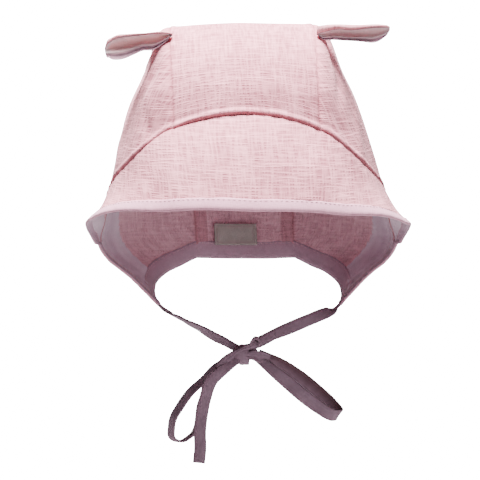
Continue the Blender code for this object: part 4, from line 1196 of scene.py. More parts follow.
# %% The brim
RIB_SPACING = (0.045, 1.2e-3, 0.35e-3, 6e-3)
BRIM_DRAPE = ((0.0009, (0.040, 0.040, 0.030), 12.0), (0.00035, (0.014, 0.014, 0.022), 15.0))
BRIM_END_CALM = 0.02
BRIM_TUCK = 0.0006
BRIM_GATHERS = (0.0080, 0.00022, 0.010)
# How strongly painted shade darkens the brim under the crown's ridge.
UNDER_RIDGE_SHADE = 0.7 * BRIM_SEAM_SHADE
BRIM_DOWN_STRETCH = 1.15


def brim():
    shares = stations(*RIB_SPACING, end=False)
    surface = brim_surface(shares)
    shape = surface.shape[:2]
    inner = surface.reshape(-1, 3)
    quads = grid_quads(*shape)
    normals = point_normals(inner, quads)
    middle_row = surface[shape[0] // 2]
    run = np.concatenate(([0.0], np.cumsum(np.linalg.norm(np.diff(middle_row, axis=0), axis=1))))
    run -= run[-1] / 2.0
    across = np.broadcast_to(run, shape).ravel()
    down = -BRIM_DOWN_STRETCH * inner[:, 2]
    to_seam = distance_to(right_half(inner), BRIM_SEAM_LINE)
    ends = np.minimum(1.0, np.linalg.norm(surface[-1] - surface[0], axis=1) / BRIM_END_CALM)
    calm = np.broadcast_to(ends, shape).ravel()
    to_edge = np.linalg.norm(surface[-1] - surface, axis=-1).ravel()
    drape = soft_drape(inner, BRIM_DRAPE) * calm
    outside = BRIM_CLOTH + relief(to_seam, TUCKED_EDGE, BRIM_TUCK)
    outside += pucker(across, to_seam, *BRIM_GATHERS, 4.0) * calm
    facts = {
        "flat_place": np.stack((across, down, np.full_like(down, 3.0)), axis=-1),
        "seam_distance": to_seam,
        "crease_paint_share": np.full_like(down, UNDER_RIDGE_SHADE),
        "shaded_band": np.zeros_like(down),
        "faced": 1.0 - ease((to_edge - FACING_SEAM) / FACING_EDGE),
    }
    outer = worn(inner + normals * (outside + drape)[:, None])
    inner = worn(inner + normals * drape[:, None])
    wall = cloth_wall("brim_cloth", inner, outer, quads, [BRIM_LINEN], facts)
    return finish_piece(wall, "brim_linen", "brim")


brim()

# %% [markdown]
# ## The binding tapes
#
# Every raw edge is wrapped in a bias tape: one runs from the left flap's corner up round the
# whole brim to the right flap's corner, the other round the neck. A tape is folded over the
# edge, so it shows on both sides and laps onto the cloth; the inside leg is the wider one.
# It could be a bevelled curve, but a curve can't lap on one side further than the other, so
# its section is swept along it ring by ring. A row of small stitches holds its upper edge.

# %% Sweeping a section along a line
# Section of a folded tape: share of the width from its inner line, and share of the thickness.
# It goes round the outer face first, from the lap on the cloth to the fold and back inside.
TAPE_OUTSIDE = ((-0.16, 0.30), (-0.14, 0.46), (-0.05, 0.54), (0.15, 0.55), (0.40, 0.58),
                (0.65, 0.57), (0.85, 0.47), (0.96, 0.28), (1.0, 0.0))
TAPE_INSIDE = ((0.96, -0.28), (0.85, -0.47), (0.65, -0.55), (0.35, -0.55), (0.10, -0.54),
               (-0.15, -0.52), (-0.38, -0.50), (-0.47, -0.40), (-0.48, -0.30))
LAP = 0.16
EDGE_WIDTH = 0.006
# How strongly painted shade marks a tape's or strap's sewn edge.
EDGE_SHADE = 0.25


def swept(name, centre, way, normal, width, thick, section, material, facts_at, close=False):
    """A tube of sections: each ring lies in the plane of its way and its normal."""
    rings, sides = len(centre), len(section)
    across = np.array([a for a, _ in section])
    lift = np.array([b for _, b in section])
    points = (
        centre[:, None]
        + way[:, None] * (width[:, None] * across)[..., None]
        + normal[:, None] * (thick[:, None] * lift)[..., None]
    ).reshape(-1, 3)
    faces = []
    for j in range(rings - 1):
        for i in range(sides):
            k = (i + 1) % sides
            faces.append((j * sides + i, j * sides + k, (j + 1) * sides + k, (j + 1) * sides + i))
    faces.append(tuple(range(sides))[::-1])
    faces.append(tuple((rings - 1) * sides + i for i in range(sides)))
    run = np.concatenate(([0.0], np.cumsum(np.linalg.norm(np.diff(centre, axis=0), axis=1))))
    girth = np.concatenate(([0.0], np.cumsum(np.hypot(
        np.diff(across) * float(width.mean()), np.diff(lift) * float(thick.mean())))))
    facts = facts_at(run, across, lift)
    facts["flat_place"] = np.stack((
        np.repeat(run, sides), np.tile(girth, rings), np.full(rings * sides, 7.0)), axis=-1)
    facts = {fact: values.astype(np.float32) for fact, values in facts.items()}
    return new_piece(name, points, faces, [material], facts)


def tape_facts(edge_share):
    """Facts of a folded tape: its inner side, painted darker as shade, and how far each point is
    from its sewn edge, painted as a shaded crease.
    """
    def facts_at(run, across, lift):
        rings = len(run)
        inside = np.tile((lift < 0.0).astype(float), rings)
        from_edge = np.tile(np.abs(across - edge_share) * EDGE_WIDTH, rings)
        return {"inside": inside, "seam_distance": from_edge + 0.0003,
                "crease_paint_share": np.full(rings * len(across), EDGE_SHADE),
                "shaded_band": np.zeros(rings * len(across))}
    return facts_at


def both_sides(half):
    """A right half carried on over the middle to the left, from the left end."""
    centre, way, normal = half
    return tuple(
        np.concatenate((part[:0:-1] * MIRROR, part)) for part in (centre, way, normal)
    )


print("tape section", len(TAPE_OUTSIDE) + len(TAPE_INSIDE), "points")

# %% The tape round the face
FLAP_EDGE_STEPS = 46
CORNER_STEPS = 8
TAPE_WANDER_SIZE = 0.018
TAPE_GATHER_SIZE = 0.0055
TAPE_WANDER = 0.00025
TAPE_GATHER = 0.00012
TAPE_WIDTH_SWING = 0.03
TAPE_THICK_SHARE = 0.96
TAPE_THICK_SWING = 0.10


def face_tape_half():
    """Right half of the face tape: along the brim's edge, then down the flap's front edge."""
    last = brim_surface(np.array([0.8, 1.0]))
    first = last.shape[1] // 2
    quads = grid_quads(2, last.shape[1])
    normals = point_normals(last.reshape(-1, 3), quads).reshape(last.shape)[1][first:]
    way = unit(last[1] - last[0])[first:]
    end = last[1][first:]
    inner = end + normals * 0.5 * BRIM_CLOTH + way * SEAM_GAP
    turn = np.full(FLAP_EDGE_STEPS, QUARTER)
    low = waist_z(turn)
    share = BRIM_END_SHARE + (1.0 - BRIM_END_SHARE) * np.arange(1, FLAP_EDGE_STEPS + 1) / (
        FLAP_EDGE_STEPS)
    z = low + (hem_z(turn) - low) * share
    edge = side_point(turn, z)
    along = unit(np.gradient(edge, axis=0))
    beside = unit(side_point(turn + 0.02, z) - edge)
    normal = unit(np.cross(along, beside))
    normal *= np.sign(normal[:, :1])
    forward = np.array((0.0, -1.0, 0.0))
    flap_way = unit(forward - along * (along @ forward)[:, None])
    flap_inner = edge + normal * 0.5 * CLOTH + flap_way * SEAM_GAP
    tail = np.arange(1, CORNER_STEPS + 1)[:, None] / CORNER_STEPS * (NECK_TAPE_WIDTH + SEAM_GAP)
    corner = flap_inner[-1] + along[-1] * tail
    centre = np.concatenate((inner, flap_inner, corner))
    ways = np.concatenate((way, flap_way, np.repeat(flap_way[-1:], CORNER_STEPS, axis=0)))
    norms = np.concatenate((normals, normal, np.repeat(normal[-1:], CORNER_STEPS, axis=0)))
    return centre, ways, norms, along[-1]


def smooth_rows(rows, times):
    """Average each row with its neighbours a few times, ends kept."""
    rows = rows.copy()
    for _ in range(times):
        rows[1:-1] = 0.25 * rows[:-2] + 0.5 * rows[1:-1] + 0.25 * rows[2:]
    return rows


def folded_tape(name, half, width, slot, node, seed):
    centre, way, normal = both_sides(half)
    way = unit(smooth_rows(way, 6))
    normal = unit(smooth_rows(normal, 6))
    run = np.concatenate(([0.0], np.cumsum(np.linalg.norm(np.diff(centre, axis=0), axis=1))))
    wander = np.array([noise.noise(Vector((s / TAPE_WANDER_SIZE, seed, 0.0))) for s in run])
    gather = np.array([noise.noise(Vector((s / TAPE_GATHER_SIZE, seed, 3.0))) for s in run])
    lifted = centre + normal * (TAPE_WANDER * wander + TAPE_GATHER * gather)[:, None]
    widths = width * (1.0 + TAPE_WIDTH_SWING * wander)
    thicks = TAPE_THICK * (TAPE_THICK_SHARE + TAPE_THICK_SWING * gather)
    place = worn(lifted)
    reach = 1e-4
    way_worn = unit(worn(lifted + way * reach) - place)
    normal_worn = unit(worn(lifted + normal * reach) - place)
    section = TAPE_OUTSIDE + TAPE_INSIDE
    piece = swept(name, place, way_worn, normal_worn, widths, thicks, section, TAPE,
                  tape_facts(-LAP))
    finish_piece(piece, slot, node)
    return place, way_worn, normal_worn, thicks


*face_half, flap_along = face_tape_half()
face_place, face_way, face_normal, face_thick = folded_tape(
    "face_tape", face_half, FACE_TAPE_WIDTH, "tape", "face_binding", 2.5)

# %% The tape round the neck
NECK_SIDE_STEPS = 90
NECK_BACK_STEPS = 24


def neck_tape_half():
    """Right half of the neck tape, from the back's middle to the flap's corner."""
    step = 0.0015
    across = np.arange(NECK_BACK_STEPS) / NECK_BACK_STEPS
    ones = np.ones(NECK_BACK_STEPS)
    edge = strip_point(ones, across)
    above = strip_point(ones - step / STRIP_LINE.length, across)
    turn = math.pi - QUARTER * np.arange(NECK_SIDE_STEPS + 1) / NECK_SIDE_STEPS
    low = hem_z(turn)
    edge = np.concatenate((edge, side_point(turn, low)))
    above = np.concatenate((above, side_point(turn, low + step)))
    way = unit(edge - above)
    along = unit(np.gradient(edge, axis=0))
    normal = unit(np.cross(way, along))
    normal *= np.sign(np.sum(normal * (edge - (0.0, 0.0, -0.12)), axis=1))[:, None]
    normal = smooth_rows(normal, 3)
    centre = edge + normal * 0.5 * CLOTH + way * SEAM_GAP
    return centre, way, normal


neck_place, neck_way, neck_normal, neck_thick = folded_tape(
    "neck_tape", neck_tape_half(), NECK_TAPE_WIDTH, "tape", "neck_binding", 8.5)

# %% [markdown]
# ## Stitches
#
# The tapes are held by a row of short stitches near their sewn edge. Each stitch is a thin
# thread that rises out of the cloth and dives back in, so it is a short arched tube and not a
# painted dash: it catches the light and casts its own small shadow.

# %% Laying rows of stitches
STITCH = 0.0021
STITCH_GAP = 0.0010
THREAD = 0.00024
STITCH_SIDES = 5
STITCH_ARCH = ((0.0, -0.9), (0.2, 0.35), (0.5, 0.6), (0.8, 0.35), (1.0, -0.9))
# share of the tape's width and of its thickness at which a row lies, outside and inside
OUTSIDE_ROW = (0.02, 0.545)
INSIDE_ROW = (-0.30, -0.52)


def stitch_row(line, normal):
    """Points and faces of a row of stitches along a line that lies on the cloth."""
    run = np.concatenate(([0.0], np.cumsum(np.linalg.norm(np.diff(line, axis=0), axis=1))))
    starts = np.arange(0.5 * STITCH, run[-1] - STITCH, STITCH + STITCH_GAP)
    points, faces = [], []
    turns = 2.0 * math.pi * np.arange(STITCH_SIDES) / STITCH_SIDES
    for start in starts:
        base = len(points)
        for share, rise in STITCH_ARCH:
            at = start + share * STITCH
            here = np.array([np.interp(at, run, c) for c in line.T])
            up = unit(np.array([np.interp(at, run, c) for c in normal.T]))
            ahead = np.array([np.interp(at + 1e-4, run, c) for c in line.T]) - here
            side = unit(np.cross(up, ahead))
            middle = here + up * THREAD * rise
            for turn in turns:
                around = side * math.cos(turn) + up * math.sin(turn)
                points.append(middle + around * 0.5 * THREAD)
        rings = len(STITCH_ARCH)
        for j in range(rings - 1):
            for i in range(STITCH_SIDES):
                k = (i + 1) % STITCH_SIDES
                low = base + j * STITCH_SIDES
                faces.append((low + i, low + k, low + STITCH_SIDES + k, low + STITCH_SIDES + i))
        faces.append(tuple(base + i for i in range(STITCH_SIDES))[::-1])
        last = base + (rings - 1) * STITCH_SIDES
        faces.append(tuple(last + i for i in range(STITCH_SIDES)))
    return points, faces


def stitch_piece(name, rows, thread):
    """One piece of all the stitches in several rows."""
    points, faces = [], []
    for line, normal in rows:
        more, their = stitch_row(line, normal)
        faces.extend(tuple(len(points) + k for k in face) for face in their)
        points.extend(more)
    points = np.array(points)
    facts = {
        "flat_place": points.astype(np.float32),
        "seam_distance": np.full(len(points), 0.02, np.float32),
        "shaded_band": np.zeros(len(points), np.float32),
    }
    piece = new_piece(name, points, faces, [thread], facts)
    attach(piece, BODY)
    print(name, len(faces) // (4 * STITCH_SIDES + 2), "stitches")
    return piece


def on_tape(place, way, normal, thick, width, share, lift):
    """A line on a tape's face at a share of its width."""
    return place + way * width * share + normal * (thick * lift)[:, None]


tape_rows = []
for place, way, normal, thick, width in (
        (face_place, face_way, face_normal, face_thick, FACE_TAPE_WIDTH),
        (neck_place, neck_way, neck_normal, neck_thick, NECK_TAPE_WIDTH)):
    tape_rows.append((on_tape(place, way, normal, thick, width, *OUTSIDE_ROW), normal))
    tape_rows.append((on_tape(place, way, normal, thick, width, *INSIDE_ROW), -normal))
stitch_piece("tape_stitches", tape_rows, SEWING_THREAD)

# %% [markdown]
# ## The ears
#
# Each ear is two small leaves sewn together, pink linen behind and pale lining in front, and
# folded along its length so that the top leaf laps over the lower one. The left one droops,
# the right one stands out level. A leaf could be cut flat and bent, but the fold is tight at
# the seam and open at the tip, so a closed section is swept between three outlines: the top
# edge, the fold and the lower edge.

# %% The ears' outlines and section
MM = 0.001
EAR_CUP = 0.0120
EAR_FORWARD = 0.0400
EAR_LEAN_OUT = 0.0060
EAR_ROWS = 70
EAR_TIP_CROWDING = 1.7
# Outlines of each ear: x in mm at its seam and its tip, then rows of share of the length and
# z in mm: its top edge, the fold under its top leaf, and its lower edge
EARS = {
    "ear_left": (
        (-43.4, -84.9),
        ((0.0, -6.1), (0.107, -5.3), (0.413, -6.0), (0.687, -6.6), (0.818, -7.3),
         (0.898, -9.0), (0.978, -12.3), (1.0, -15.6)),
        ((0.0, -6.7), (0.14, -6.1), (0.40, -6.8), (0.70, -8.0), (0.83, -9.3), (0.92, -11.4),
         (0.98, -14.0), (1.0, -15.7)),
        ((0.0, -7.6), (0.267, -16.1), (0.447, -16.9), (0.575, -19.2), (0.721, -21.6),
         (0.800, -22.2), (0.932, -21.2), (0.988, -18.9), (1.0, -16.2)),
    ),
    "ear_right": (
        (45.4, 90.0),
        ((0.0, -1.7), (0.184, -0.7), (0.536, -1.0), (0.887, -0.9), (0.97, -1.4), (1.0, -2.2)),
        ((0.0, -6.2), (0.101, -5.1), (0.301, -3.4), (0.476, -4.0), (0.595, -3.4),
         (0.782, -2.4), (1.0, -2.9)),
        ((0.0, -6.9), (0.067, -9.4), (0.253, -10.1), (0.478, -10.9), (0.653, -11.6),
         (0.749, -12.0), (0.841, -11.1), (0.913, -9.1), (0.97, -6.6), (1.0, -4.3)),
    ),
}
# Share of the length and share of EAR_CUP
EAR_CUP_SHARES = (
    (0.0, 0.30), (0.16, 0.72), (0.40, 1.00), (0.70, 0.85), (0.90, 0.50), (1.0, 0.16),
)
# Section of an ear, from its lower edge round the back to the fold under the top leaf: share
# of the way down the top leaf, share of the way down the lower leaf, share of the cup
EAR_BACK = (
    (1.00, 0.90, 0.45), (1.00, 0.65, 0.78), (1.00, 0.35, 0.95), (1.00, 0.05, 0.85),
    (0.60, 0.00, 0.62), (0.20, 0.00, 0.32), (0.00, 0.00, 0.08), (-0.02, 0.00, -0.10),
    (0.25, 0.00, -0.26), (0.65, 0.00, -0.30), (0.95, 0.00, -0.26), (1.02, 0.00, -0.18),
)
# The lining: a dark tuck, the lower leaf's rim, a rosy valley, a pale ridge, the lower edge
EAR_LINING_FACE = (
    (1.00, -0.02, 0.02), (1.00, 0.015, 0.06), (1.00, 0.05, -0.07), (1.00, 0.10, -0.02),
    (1.00, 0.20, 0.12), (1.00, 0.36, 0.22), (1.00, 0.50, 0.16), (1.00, 0.61, 0.01),
    (1.00, 0.69, -0.03), (1.00, 0.79, 0.07), (1.00, 0.90, 0.05), (1.00, 0.97, -0.09),
    (1.00, 1.00, -0.16), (1.00, 1.03, -0.05), (1.00, 1.02, 0.12),
)
LINING_VALLEY = 0.38
VALLEY_MARK = {"ear_left": 0.62, "ear_right": 0.30}
EAR_RIPPLES = ((0.0007, (0.016, 0.010, 0.006), 0.0), (0.00030, (0.006, 0.006, 0.0025), 3.0))
EAR_PLEAT = 0.0007
EAR_PLEATS = 6.0
EAR_PLEAT_REACH = 0.22
VALLEY_SPREAD = 0.012
EAR_END_SPREAD = 0.0035
EAR_END_REACH = 0.12
# Where the ear lining's lower band starts to be painted darker as shade, and how soon it is full.
EAR_SHADE_START = 0.66
EAR_SHADE_REACH = 0.16
print("ear section", len(EAR_BACK) + len(EAR_LINING_FACE), "points")


# %% The ears
def cut_corners(loop, times):
    """Round a closed loop of rows by cutting its corners."""
    for _ in range(times):
        after = np.roll(loop, -1, axis=0)
        loop = np.stack((0.75 * loop + 0.25 * after, 0.25 * loop + 0.75 * after), axis=1)
        loop = loop.reshape(-1, loop.shape[-1])
    return loop


def ear(node, seed):
    (x_seam, x_tip), *outlines = EARS[node]
    top, fold, low = (SmoothTable(rows) for rows in outlines)
    cups = SmoothTable(EAR_CUP_SHARES)
    loop = np.array([(*row, 0.0) for row in EAR_BACK] + [(*row, 1.0) for row in EAR_LINING_FACE])
    loop = cut_corners(loop, 2)
    sides = len(loop)
    shares = 1.0 - (1.0 - np.linspace(0.0, 1.0, EAR_ROWS)) ** EAR_TIP_CROWDING
    share = np.repeat(shares, sides)
    down_top, down_low, deep, lining = (np.tile(column, EAR_ROWS) for column in loop.T)
    cup = EAR_CUP * cups.value(share)
    z_top, z_fold, z_low = (MM * table.value(share) for table in (top, fold, low))
    x = MM * (x_seam + (x_tip - x_seam) * share)
    z = z_top + (z_fold - z_top) * down_top + (z_low - z_fold) * down_low
    y = SEAM_POINTS[SEAM_TOP, 1] - EAR_FORWARD - EAR_LEAN_OUT * share + cup * deep
    points = np.stack((x, y, z), axis=1)
    ripple = soft_drape(points, EAR_RIPPLES, seed)
    pleats = EAR_PLEAT * np.sin(down_low * EAR_PLEATS * math.pi + seed)
    gathered = pleats * np.exp(-(share / EAR_PLEAT_REACH) ** 2)
    points[:, 1] += ripple + gathered * lining
    points[:, 2] += 0.35 * ripple
    faces = []
    for j in range(EAR_ROWS - 1):
        for i in range(sides):
            k = (i + 1) % sides
            quad = (j * sides + i, j * sides + k, (j + 1) * sides + k, (j + 1) * sides + i)
            faces.append(quad if x_tip < 0 else quad[::-1])
    first = tuple(range(sides))
    last = tuple((EAR_ROWS - 1) * sides + i for i in range(sides))
    faces += [first[::-1], last] if x_tip < 0 else [first, last[::-1]]
    kinds = [int(lining[face[0]] + lining[face[2]] > 1.0) for face in faces]
    facts = {
        "flat_place": np.stack((np.abs(x), z + y, np.full_like(x, 0.1 * seed)), axis=-1),
        "seam_distance": np.abs(down_low - LINING_VALLEY) * VALLEY_SPREAD
        + EAR_END_SPREAD * (1.0 - ease(np.minimum(share, 1.0 - share) / EAR_END_REACH)),
        "crease_paint_share": lining * VALLEY_MARK[node],
        "inside": lining,
        # the lining's lower band, painted darker as shade
        "shaded_band": ease((down_low - EAR_SHADE_START) / EAR_SHADE_REACH) * lining,
    }
    facts = {fact: values.astype(np.float32) for fact, values in facts.items()}
    piece = new_piece(node + "_cloth", points, faces, [EAR_LINEN, EAR_LINING], facts, kinds)
    return finish_piece(piece, "ear_linen", node)


ear("ear_left", 41.0)
ear("ear_right", 47.0)

# %% [markdown]
# ## The label
#
# A small plain woven label is sewn inside the back, just above the neck tape. It is a thin
# leaf held along its sides, so its middle stands a little off the wall, and one upper corner
# is loose. A Cloth modifier with pinned edges would sag it in the same way; a bulge and a
# loose corner, written as two terms, are enough for so small a leaf.

# %% The label
LABEL_WIDTH = 0.0285
LABEL_HEIGHT = 0.0145
LABEL_ABOVE_HEM = 0.0010
LABEL_SHIFT = -0.0060
LABEL_THICK = 0.0010
LABEL_ROWS = 26
LABEL_COLUMNS = 50
LABEL_BULGE = 0.0007
LABEL_LUMPS = ((0.00025, (0.009, 0.009, 0.006), 61.0),)
LABEL_LOOSE = 0.0013
LABEL_SEAM = 0.0016


def label():
    run = STRIP_LINE.length
    low = 1.0 - LABEL_ABOVE_HEM / run
    rows = low - LABEL_HEIGHT / run * (1.0 - np.linspace(0.0, 1.0, LABEL_ROWS))
    columns = np.linspace(-0.5, 0.5, LABEL_COLUMNS)
    share, across = np.meshgrid(rows, columns, indexing="ij")
    x = LABEL_SHIFT + LABEL_WIDTH * across
    wall = strip_point(share, x / strip_half_width(share)).reshape(-1, 3)
    way = STRIP_LINE.direction(share.ravel())
    inward = np.stack((np.zeros(len(way)), way[:, 1], -way[:, 0]), axis=1)
    down = (share.ravel() - rows[0]) * run
    aside = np.abs(across.ravel())
    waves = 0.6 + 0.4 * np.sin(9.0 * across.ravel())
    bulge = LABEL_BULGE * ease((0.5 - aside) / 0.12) * waves
    bulge += soft_drape(wall, LABEL_LUMPS)
    loose = LABEL_LOOSE * ease((across.ravel() - 0.42) / 0.08) * ease(1.0 - down / LABEL_HEIGHT)
    raised = ALLOWANCE_STEP + SEAM_GAP + bulge + loose
    front = wall + inward * (raised + LABEL_THICK)[:, None]
    rear = wall + inward * raised[:, None]
    edge = np.minimum(np.minimum(down, LABEL_HEIGHT - down), (0.5 - aside) * LABEL_WIDTH)
    facts = {
        "flat_place": np.stack((x.ravel(), down, np.full_like(down, 9.0)), axis=-1),
        # A dark line along the label's sewn edge: partly its stitching, partly painted shade in
        # the crease.
        "seam_distance": np.abs(edge - LABEL_SEAM) + 0.0003,
        "crease_paint_share": np.full_like(down, 0.35),
        "shaded_band": np.zeros_like(down),
    }
    quads = grid_quads(LABEL_ROWS, LABEL_COLUMNS, flip=True)
    piece = cloth_wall("label_cloth_leaf", worn(front), worn(rear), quads, [LABEL_CLOTH], facts)
    return finish_piece(piece, "label_cloth", "label")


label()

# %% [markdown]
# ## The chin ties and the bow
#
# The ties are the same tape folded double and stitched shut, about 8 mm wide. Each leaves a
# flap's corner, runs down to the knot and ends in the bow: a loop and a tail on each side.
# They are sewn straps with one set form, so each is swept along its own line, with its width
# and its facing given in a short table; a bevelled curve would choose its own twist at each
# bend. Near the knot the strap narrows and pleats.

# %% Tables of the straps
KNOT_MIDDLE = np.array((0.0038, -0.0200, -0.2050))
KNOT_SIZE = np.array((0.0165, 0.0110, 0.0145))
KNOT_ROUND = 0.8
TIE_SEAT = 0.0012
STRAND_SEAT = 0.0007
BOW_SCALE = np.array((0.0600, 0.0100, 0.0720))
# share of the way to the knot, width share, width direction
TIE_LEFT = ((0.12, 1.00, -0.3, -0.80, 0.3), (0.55, 1.00, 0.0, -0.72, 0.6),
            (0.80, 0.85, 0.3, -0.60, 0.70), (1.00, 0.65, 0.45, -0.45, 0.75))
TIE_RIGHT = ((0.10, 1.00, 0.2, -0.65, -0.65), (0.28, 1.00, 0.35, -0.1, -0.93),
             (0.65, 1.00, 0.35, 0.0, -0.94), (1.00, 0.65, 0.35, 0.0, -0.94))
TIE_LEFT_RISE = 0.06
TIE_RIGHT_RISE = 0.40
# x, y and z shares, width share, width direction
LOOP_LEFT = (
    (-0.150, -0.15, -0.050, 0.50, 0.1, 0.8, -0.6), (-0.290, -0.10, -0.120, 0.80, -0.3, 0.8, 0.4),
    (-0.450, -0.05, -0.240, 1.00, -0.4, 0.85, 0.3), (-0.604, 0.00, -0.370, 1.00, -0.5, 0.85, 0.2),
    (-0.735, 0.00, -0.510, 1.00, -0.5, 0.85, 0.2), (-0.805, 0.05, -0.660, 1.00, -0.5, 0.85, 0.0),
    (-0.795, 0.20, -0.780, 1.00, -0.5, 0.85, -0.1), (-0.700, 0.40, -0.815, 1.00, -0.4, 0.9, -0.1),
    (-0.590, 0.60, -0.760, 1.00, -0.3, 0.9, 0.0), (-0.530, 0.75, -0.620, 1.00, -0.3, 0.9, 0.1),
    (-0.470, 0.80, -0.420, 1.00, -0.3, 0.9, 0.2), (-0.130, 0.62, -0.110, 0.45, 0.0, 0.9, 0.4),
)
LOOP_RIGHT = (
    (0.130, -0.62, -0.085, 0.60, 0.6, 0.0, 0.8), (0.335, -1.00, -0.215, 1.00, 0.6, 0.0, 0.8),
    (0.545, -1.10, -0.365, 1.05, 0.6, 0.0, 0.8), (0.735, -1.05, -0.485, 1.05, 0.6, 0.0, 0.8),
    (0.890, -0.85, -0.560, 1.00, 0.6, 0.0, 0.8), (0.960, -0.40, -0.560, 1.00, 0.6, 0.0, 0.8),
    (0.885, 0.10, -0.480, 1.00, 0.6, 0.0, 0.8), (0.735, 0.35, -0.365, 1.00, 0.6, 0.0, 0.8),
    (0.550, 0.40, -0.240, 1.00, 0.6, 0.0, 0.8), (0.350, 0.25, -0.120, 0.80, 0.6, 0.0, 0.8),
    (0.165, 0.00, -0.020, 0.45, 0.6, 0.0, 0.8),
)
TAIL_LEFT = (
    (-0.120, -0.66, -0.100, 0.50, 0.6, 0.0, -0.8), (-0.265, -0.95, -0.160, 0.85, 0.8, 0.0, -0.6),
    (-0.385, -0.95, -0.250, 1.00, 1.0, 0.1, -0.3), (-0.450, -0.90, -0.400, 1.00, 1.0, 0.1, -0.1),
    (-0.488, -0.85, -0.553, 1.00, 1.0, 0.0, -0.1), (-0.507, -0.85, -0.700, 1.00, 1.0, -0.1, 0.0),
    (-0.505, -0.90, -0.850, 1.00, 1.0, -0.1, 0.0), (-0.520, -0.95, -0.975, 1.00, 1.0, 0.0, 0.0),
)
TAIL_RIGHT = (
    (0.125, 0.62, -0.070, 0.50, 0.6, 0.1, 0.8), (0.300, 0.95, -0.190, 0.90, 0.6, 0.1, 0.8),
    (0.480, 1.15, -0.320, 1.00, 0.6, 0.1, 0.8), (0.660, 1.20, -0.460, 1.00, 0.6, 0.1, 0.8),
)
print("strap rows", [len(rows) for rows in (LOOP_LEFT, LOOP_RIGHT, TAIL_LEFT, TAIL_RIGHT)])

# %% Sweeping a strap
# Section of a strap: width share and thickness share. The two layers show as a slit at one
# edge, and the other edge is a round fold.
STRAP_SECTION = (
    (-0.50, 0.10), (-0.485, 0.40), (-0.45, 0.50), (-0.40, 0.43), (-0.36, 0.50), (-0.20, 0.53),
    (0.0, 0.54), (0.20, 0.53), (0.38, 0.50), (0.46, 0.40), (0.49, 0.18), (0.465, 0.0),
    (0.49, -0.18), (0.46, -0.40), (0.38, -0.50), (0.20, -0.53), (0.0, -0.54), (-0.20, -0.53),
    (-0.36, -0.50), (-0.40, -0.43), (-0.45, -0.50), (-0.485, -0.40),
)
STRAP_STEP = 0.0008
KINK_SIZE = 0.011
TWIST_SIZE = 0.019
KINK = 0.0007
TWIST = 0.16
PLEAT_REACH = 0.009
PLEAT = 0.0011
SAG = 0.0003
END_CALM = 0.012
THICK_KINK = 0.06
THICK_PLEAT = 0.9
# share of the width and of the thickness at which the stitches lie
STRAP_STITCHES = (0.40, 0.43)


def strap_facts(inner):
    """Facts of a strap: its stitched edge, painted as a shaded crease, and the face that lies
    inside a loop, painted darker as shade.
    """
    def facts_at(run, across, lift):
        rings = len(run)
        from_stitch = np.tile(np.abs(across + 0.40) * TIE_WIDTH, rings)
        return {"seam_distance": from_stitch + 0.0001,
                "crease_paint_share": np.full(rings * len(across), EDGE_SHADE),
                "shaded_band": np.zeros(rings * len(across)),
                "inside": np.tile((lift * inner > 0.0) * ease(0.62 + 1.5 * across), rings)}
    return facts_at


def strap_frame(rows):
    """Centres, ways, normals and widths of a strap along the smooth line through its rows."""
    line = SmoothLine([np.concatenate((point, (width,), way)) for point, width, way in rows])
    share = np.linspace(0.0, 1.0, max(int(line.length / STRAP_STEP), 8))
    here = line.at(share)
    along = unit(line.direction(share, 0.01)[:, :3])
    facing = here[:, 4:]
    way = unit(facing - along * np.sum(along * facing, axis=1)[:, None])
    return here[:, :3], way, np.cross(along, way), here[:, 3], share * line.length


def strap(name, node, rows, seed, knot_end=1, inner=0, crumple=0.35):
    """A strap with a few soft kinks along it and pleats where it nears the knot."""
    centre, way, normal, width, run = strap_frame(rows)
    kink = np.array([noise.noise(Vector((s / KINK_SIZE, seed, 0.0))) for s in run])
    twist = TWIST * np.array([noise.noise(Vector((s / TWIST_SIZE, seed, 5.0))) for s in run])
    fade = ease(np.minimum(run, run[-1] - run) / END_CALM)[:, None]
    centre = centre + normal * (KINK * kink)[:, None] * fade
    turned = way * np.cos(twist)[:, None] + normal * np.sin(twist)[:, None]
    normal = normal * np.cos(twist)[:, None] - way * np.sin(twist)[:, None]
    to_knot = {1: run[-1] - run, 0: run, 2: np.minimum(run, run[-1] - run)}[knot_end]
    pleat = crumple * np.exp(-(to_knot / PLEAT_REACH) ** 2)
    thick = TIE_THICK * (1.0 + THICK_KINK * kink + THICK_PLEAT * pleat)
    piece = swept(name, centre, turned, normal, width, thick, STRAP_SECTION, TIE_TAPE,
                  strap_facts(inner))
    points = np.array([v.co for v in piece.data.vertices])
    sides = len(STRAP_SECTION)
    across = np.tile([a for a, _ in STRAP_SECTION], len(centre))
    ripple = np.repeat(pleat, sides) * PLEAT * np.cos(across * 6.0 * math.pi)
    sag = np.repeat(SAG * kink, sides) * np.cos(across * math.pi)
    points += np.repeat(normal, sides, axis=0) * (ripple + sag)[:, None]
    piece.data.vertices.foreach_set("co", points.ravel())
    piece.data.update()
    finish_piece(piece, "tie_tape", node)
    aside, above = STRAP_STITCHES
    edge = centre - turned * (aside * width)[:, None] + normal * (above * thick)[:, None]
    return edge, normal


print("strap section", len(STRAP_SECTION), "points")

# %% The ties, loops and tails
SEAT_SHARE = 0.80
TIE_TUCK = 0.003
TIE_LEAD = 0.004
TIE_LEAD_WIDTH = 0.8


def knot_side(offset):
    """Where the way from the knot's middle along an offset comes out of the knot."""
    reach = np.sum(np.abs(offset / (0.5 * KNOT_SIZE)) ** (2.0 / KNOT_ROUND)) ** (
        -0.5 * KNOT_ROUND)
    return offset * reach + unit(offset) * STRAND_SEAT


